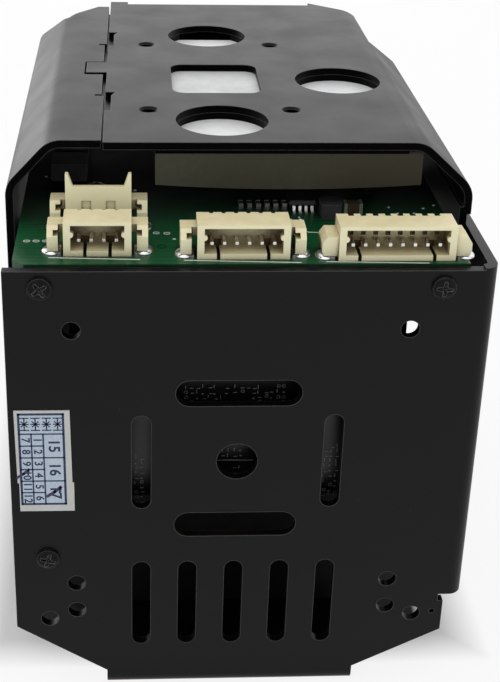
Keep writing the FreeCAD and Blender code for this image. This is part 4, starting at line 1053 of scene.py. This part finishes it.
# Driver chip and the tinned ends of chip parts
driver_legs = 4
driver_pitch = 0.65 * mm
driver_chamfer = 0.18 * mm
driver_lift = 0.15 * mm
driver_waist = 0.45 * mm
leg_reach = 0.95 * mm
leg_half = 0.15 * mm
leg_knee = 0.35 * mm
leg_shoulder = 0.2 * mm
leg_sheet = 0.14 * mm
resistor_cap = 0.14 * mm
capacitor_cap = 0.36 * mm
cap_proud = 0.02 * mm


def driver():
    """Small outline chip with bevelled body and bent legs."""
    low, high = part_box("driver_chip")
    body_low = board_top + driver_lift
    waist = body_low + driver_waist
    rear_y, front_y = low.y + leg_reach, high.y - leg_reach

    def ring(inset, z):
        left, right = low.x + inset, high.x - inset
        rear, front = rear_y + inset, front_y - inset
        return [Vector((x, y, z)) for x, y in ((left, rear), (right, rear), (right, front), (left, front))]

    body = Shape()
    body.rings([ring(driver_chamfer, body_low), ring(0.0, waist), ring(driver_chamfer, high.z)])
    body.piece("driver_body", slot_materials["chip_plastic"], "chip_plastic", replaces=("driver_chip",))
    shape = Shape()
    for i in range(driver_legs):
        x = (low.x + high.x) / 2 + (i - (driver_legs - 1) / 2) * driver_pitch
        for side, edge in ((-1, rear_y), (1, front_y)):
            knee = edge + side * leg_knee
            tip = edge + side * leg_reach
            profile = [(edge, waist), (knee, waist), (knee + side * leg_sheet, board_top + leg_sheet),
                       (tip, board_top + leg_sheet), (tip, board_top), (knee, board_top),
                       (edge + side * leg_shoulder, waist - leg_sheet), (edge, waist - leg_sheet)]
            shape.prism([(x - leg_half, y, z) for y, z in profile], (2 * leg_half, 0, 0))
    shape.piece("driver_legs", solder, "tinned_metal")


def chips():
    """Resistors with dark backs and capacitors with tinned ends."""
    backs, blocks, ends = Shape(), Shape(), Shape()
    for low, high in solids_of("chip_resistors"):
        rear, front = low.y + resistor_cap, high.y - resistor_cap
        backs.box((low.x + cap_proud, rear, low.z), (high.x - cap_proud, front, high.z))
        ends.box(low, (high.x, rear, high.z + cap_proud))
        ends.box((low.x, front, low.z), (high.x, high.y, high.z + cap_proud))
    backs.piece("resistor_backs", resist, "chip_plastic", replaces=("chip_resistors",))
    for low, high in solids_of("ceramic_capacitors"):
        left, right = low.x + capacitor_cap, high.x - capacitor_cap
        blocks.box((left, low.y + cap_proud, low.z), (right, high.y - cap_proud, high.z - cap_proud))
        ends.box(low, (left, high.y, high.z))
        ends.box((right, low.y, low.z), high)
    blocks.piece("capacitor_blocks", slot_materials["ceramic"], "ceramic", replaces=("ceramic_capacitors",))
    ends.piece("chip_ends", solder, "tinned_metal")


# Screws: heads with a cross recess and threaded shanks
head_radius = 1.2 * mm
head_height = 0.6 * mm
flush_height = 1.0 * mm
head_turn = 0.5
head_turn_step = 0.9
shank_radius = 0.6 * mm
shank_pitch = 0.4 * mm
shank_depth = 0.09 * mm
lead_pitch = 1.0 * mm
lead_depth = 0.16 * mm
lead_steps = 24
lead_slices = 8
screw_kinds = (("plate_screw", head_height), ("case_screw", head_height), ("board_screw", head_height),
               ("base_screw", flush_height))


def screws(name, height):
    """Each head is at the end of its solid that lies farther from the object's middle."""
    heads, shanks = Shape(), Shape()
    middle = (cad_low + cad_high) / 2
    for index, (low, high) in enumerate(solids_of(name + "s")):
        size = high - low
        axis = max(range(3), key=lambda i: size[i])
        outward = Vector((0, 0, 0))
        outward[axis] = 1 if abs(high[axis] - middle[axis]) > abs(low[axis] - middle[axis]) else -1
        end = (low + high) / 2 + outward * (size[axis] / 2 - height)
        heads.cross_head(end, outward, head_radius, height, head_turn + head_turn_step * index)
        shanks.threaded(end, -outward, size[axis] - height, shank_radius, shank_pitch, shank_depth)
    heads.piece(name + "_heads", slot_materials["black_screw"], "black_screw", replaces=(name + "s",))
    shanks.piece(name + "_shanks", slot_materials["black_screw"], "black_screw")


def lead_screws():
    for name in ("zoom", "focus"):
        low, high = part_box(name + "_lead_screw")
        start = Vector(((low.x + high.x) / 2, low.y, (low.z + high.z) / 2))
        shape = Shape()
        shape.threaded(start, (0, 1, 0), high.y - low.y, (high.x - low.x) / 2, lead_pitch, lead_depth,
                       steps=lead_steps, slices=lead_slices)
        shape.piece(name + "_thread", slot_materials["steel"], "steel", body=name + "_screw",
                    replaces=(name + "_lead_screw",), smooth=True)


# Fine print on the upright board behind the plate, in millimetres: X, Z, width and height of each field
control_fields = (
    (-5.6, 34.9, 5.0, 2.8),
    (-0.4, 36.2, 1.6, 1.4),
    (0.9, 34.9, 4.4, 2.9),
    (-10.8, 22.6, 1.7, 6.2),
    (9.5, 22.6, 1.9, 7.6),
    (-1.5, 26.2, 3.0, 1.5),
    (-1.5, 28.4, 3.0, 1.4),
)
control_line = ((-1.8, 28.05), (1.9, 28.0))
control_line_width = 0.11
control_step = 0.62
control_jitter = (0.1, 0.4)
control_seed = 11
control_kinds = (  # the draw below which each mark is taken, its run and its width
    (0.30, ((0, 0), (0.30, 0)), 0.08),
    (0.55, ((0, 0), (0, 0.34)), 0.08),
    (0.72, ((0, 0), (0.3, 0), (0.3, 0.3), (0, 0.3), (0, 0)), 0.07),
    (0.86, ((0, 0), (0.12, 0)), 0.13),
)


def control_marks():
    """Rows of plain dashes, dots and small frames, seen through the plate's openings."""
    draw = random.Random(control_seed)
    shape = Shape()
    push = (0, -print_height, 0)

    def on_face(x, z):
        return Vector((x, control_face, z))

    def run(points, width):
        shape.stroke(scaled(points), width * mm, on_face, push)

    for left, low, wide, tall in control_fields:
        for i in range(int(wide / control_step)):
            for k in range(int(tall / control_step)):
                x = left + (i + draw.uniform(*control_jitter)) * control_step
                z = low + (k + draw.uniform(*control_jitter)) * control_step
                kind = draw.random()
                for limit, mark, width in control_kinds:
                    if kind < limit:
                        run([(x + u, z + v) for u, v in mark], width)
                        break
    run(control_line, control_line_width)
    shape.piece("control_print", dim_ink, "dark_board")


def make_world():
    world = bpy.data.worlds.new("studio")
    scene.world = world
    g = Graph(world)
    direction = g.add("ShaderNodeTexCoord").outputs["Generated"]
    along = g.add("ShaderNodeSeparateXYZ", {0: direction}).outputs["Y"]
    level = g.spread(along, *world_span, world_front, world_back)
    lit = g.add("ShaderNodeBackground", {"Color": grey(1.0), "Strength": level})
    shown = g.add("ShaderNodeBackground", {"Color": grey(1.0), "Strength": seen_white})
    mixed = g.add("ShaderNodeMixShader", {0: g.shown(), 1: lit.outputs[0], 2: shown.outputs[0]})
    g.end(mixed, "ShaderNodeOutputWorld")


def make_floor():
    """Pale floor that shows white away from the object, keeps its shadow and has a painted shadow, near
    black, under its case.
    """
    material, g = new_material("floor")
    under = g.math("MAXIMUM", g.beyond("X", 0.0, under_half_x), g.beyond("Y", under_middle_y, under_half_y))
    pale = g.blend(g.noise(floor_cloud), grey(floor_albedo), grey(floor_albedo_low))
    # Painted shadow: the floor is near black under the case
    shade = g.blend(g.spread(under, 0.0, -under_fade), pale, grey(painted_shadow_level))
    diffuse = g.add("ShaderNodeBsdfDiffuse", {"Color": shade})
    glow = g.add("ShaderNodeEmission", {"Color": grey(1.0), "Strength": seen_white})
    away = g.math("MAXIMUM", g.beyond("X", 0.0, cad_high.x), g.beyond("Y", shadow_middle_y, shadow_half_y))
    clear = g.spread(away, 0.0, shadow_margin)
    share = g.math("MULTIPLY", g.math("MULTIPLY", g.shown(), clear), floor_glow)
    g.end(g.add("ShaderNodeMixShader", {0: share, 1: diffuse.outputs[0], 2: glow.outputs[0]}))
    shape = Shape()
    half = floor_size / 2
    corners = ((-half, -half, 0), (half, -half, 0), (half, half, 0), (-half, half, 0))
    shape.mesh.faces.new([shape.mesh.verts.new(p) for p in corners])
    floor = shape.thing("floor", material)


def make_light(name, place, width, height, radiance):
    """Soft box of a given size and brightness that faces the object."""
    data = bpy.data.lights.new(name, "AREA")
    data.shape = "RECTANGLE"
    data.size = width
    data.size_y = height
    data.energy = radiance * math.pi * width * height
    light = linked(name, data)
    light.location = place
    light.rotation_mode = "QUATERNION"
    light.rotation_quaternion = (Vector(light_target) - Vector(place)).to_track_quat("-Z", "Y")


scene.view_settings.view_transform = "Standard"
make_camera()
make_world()
make_floor()
for soft_box in soft_boxes:
    make_light(*soft_box)

dress_nodes()
for name in connectors:
    soften(name + "_connector_housing")
label_sheet()
label_grid()
board_print()
board_solder()
driver()
chips()
for name, height in screw_kinds:
    screws(name, height)
lead_screws()
control_marks()
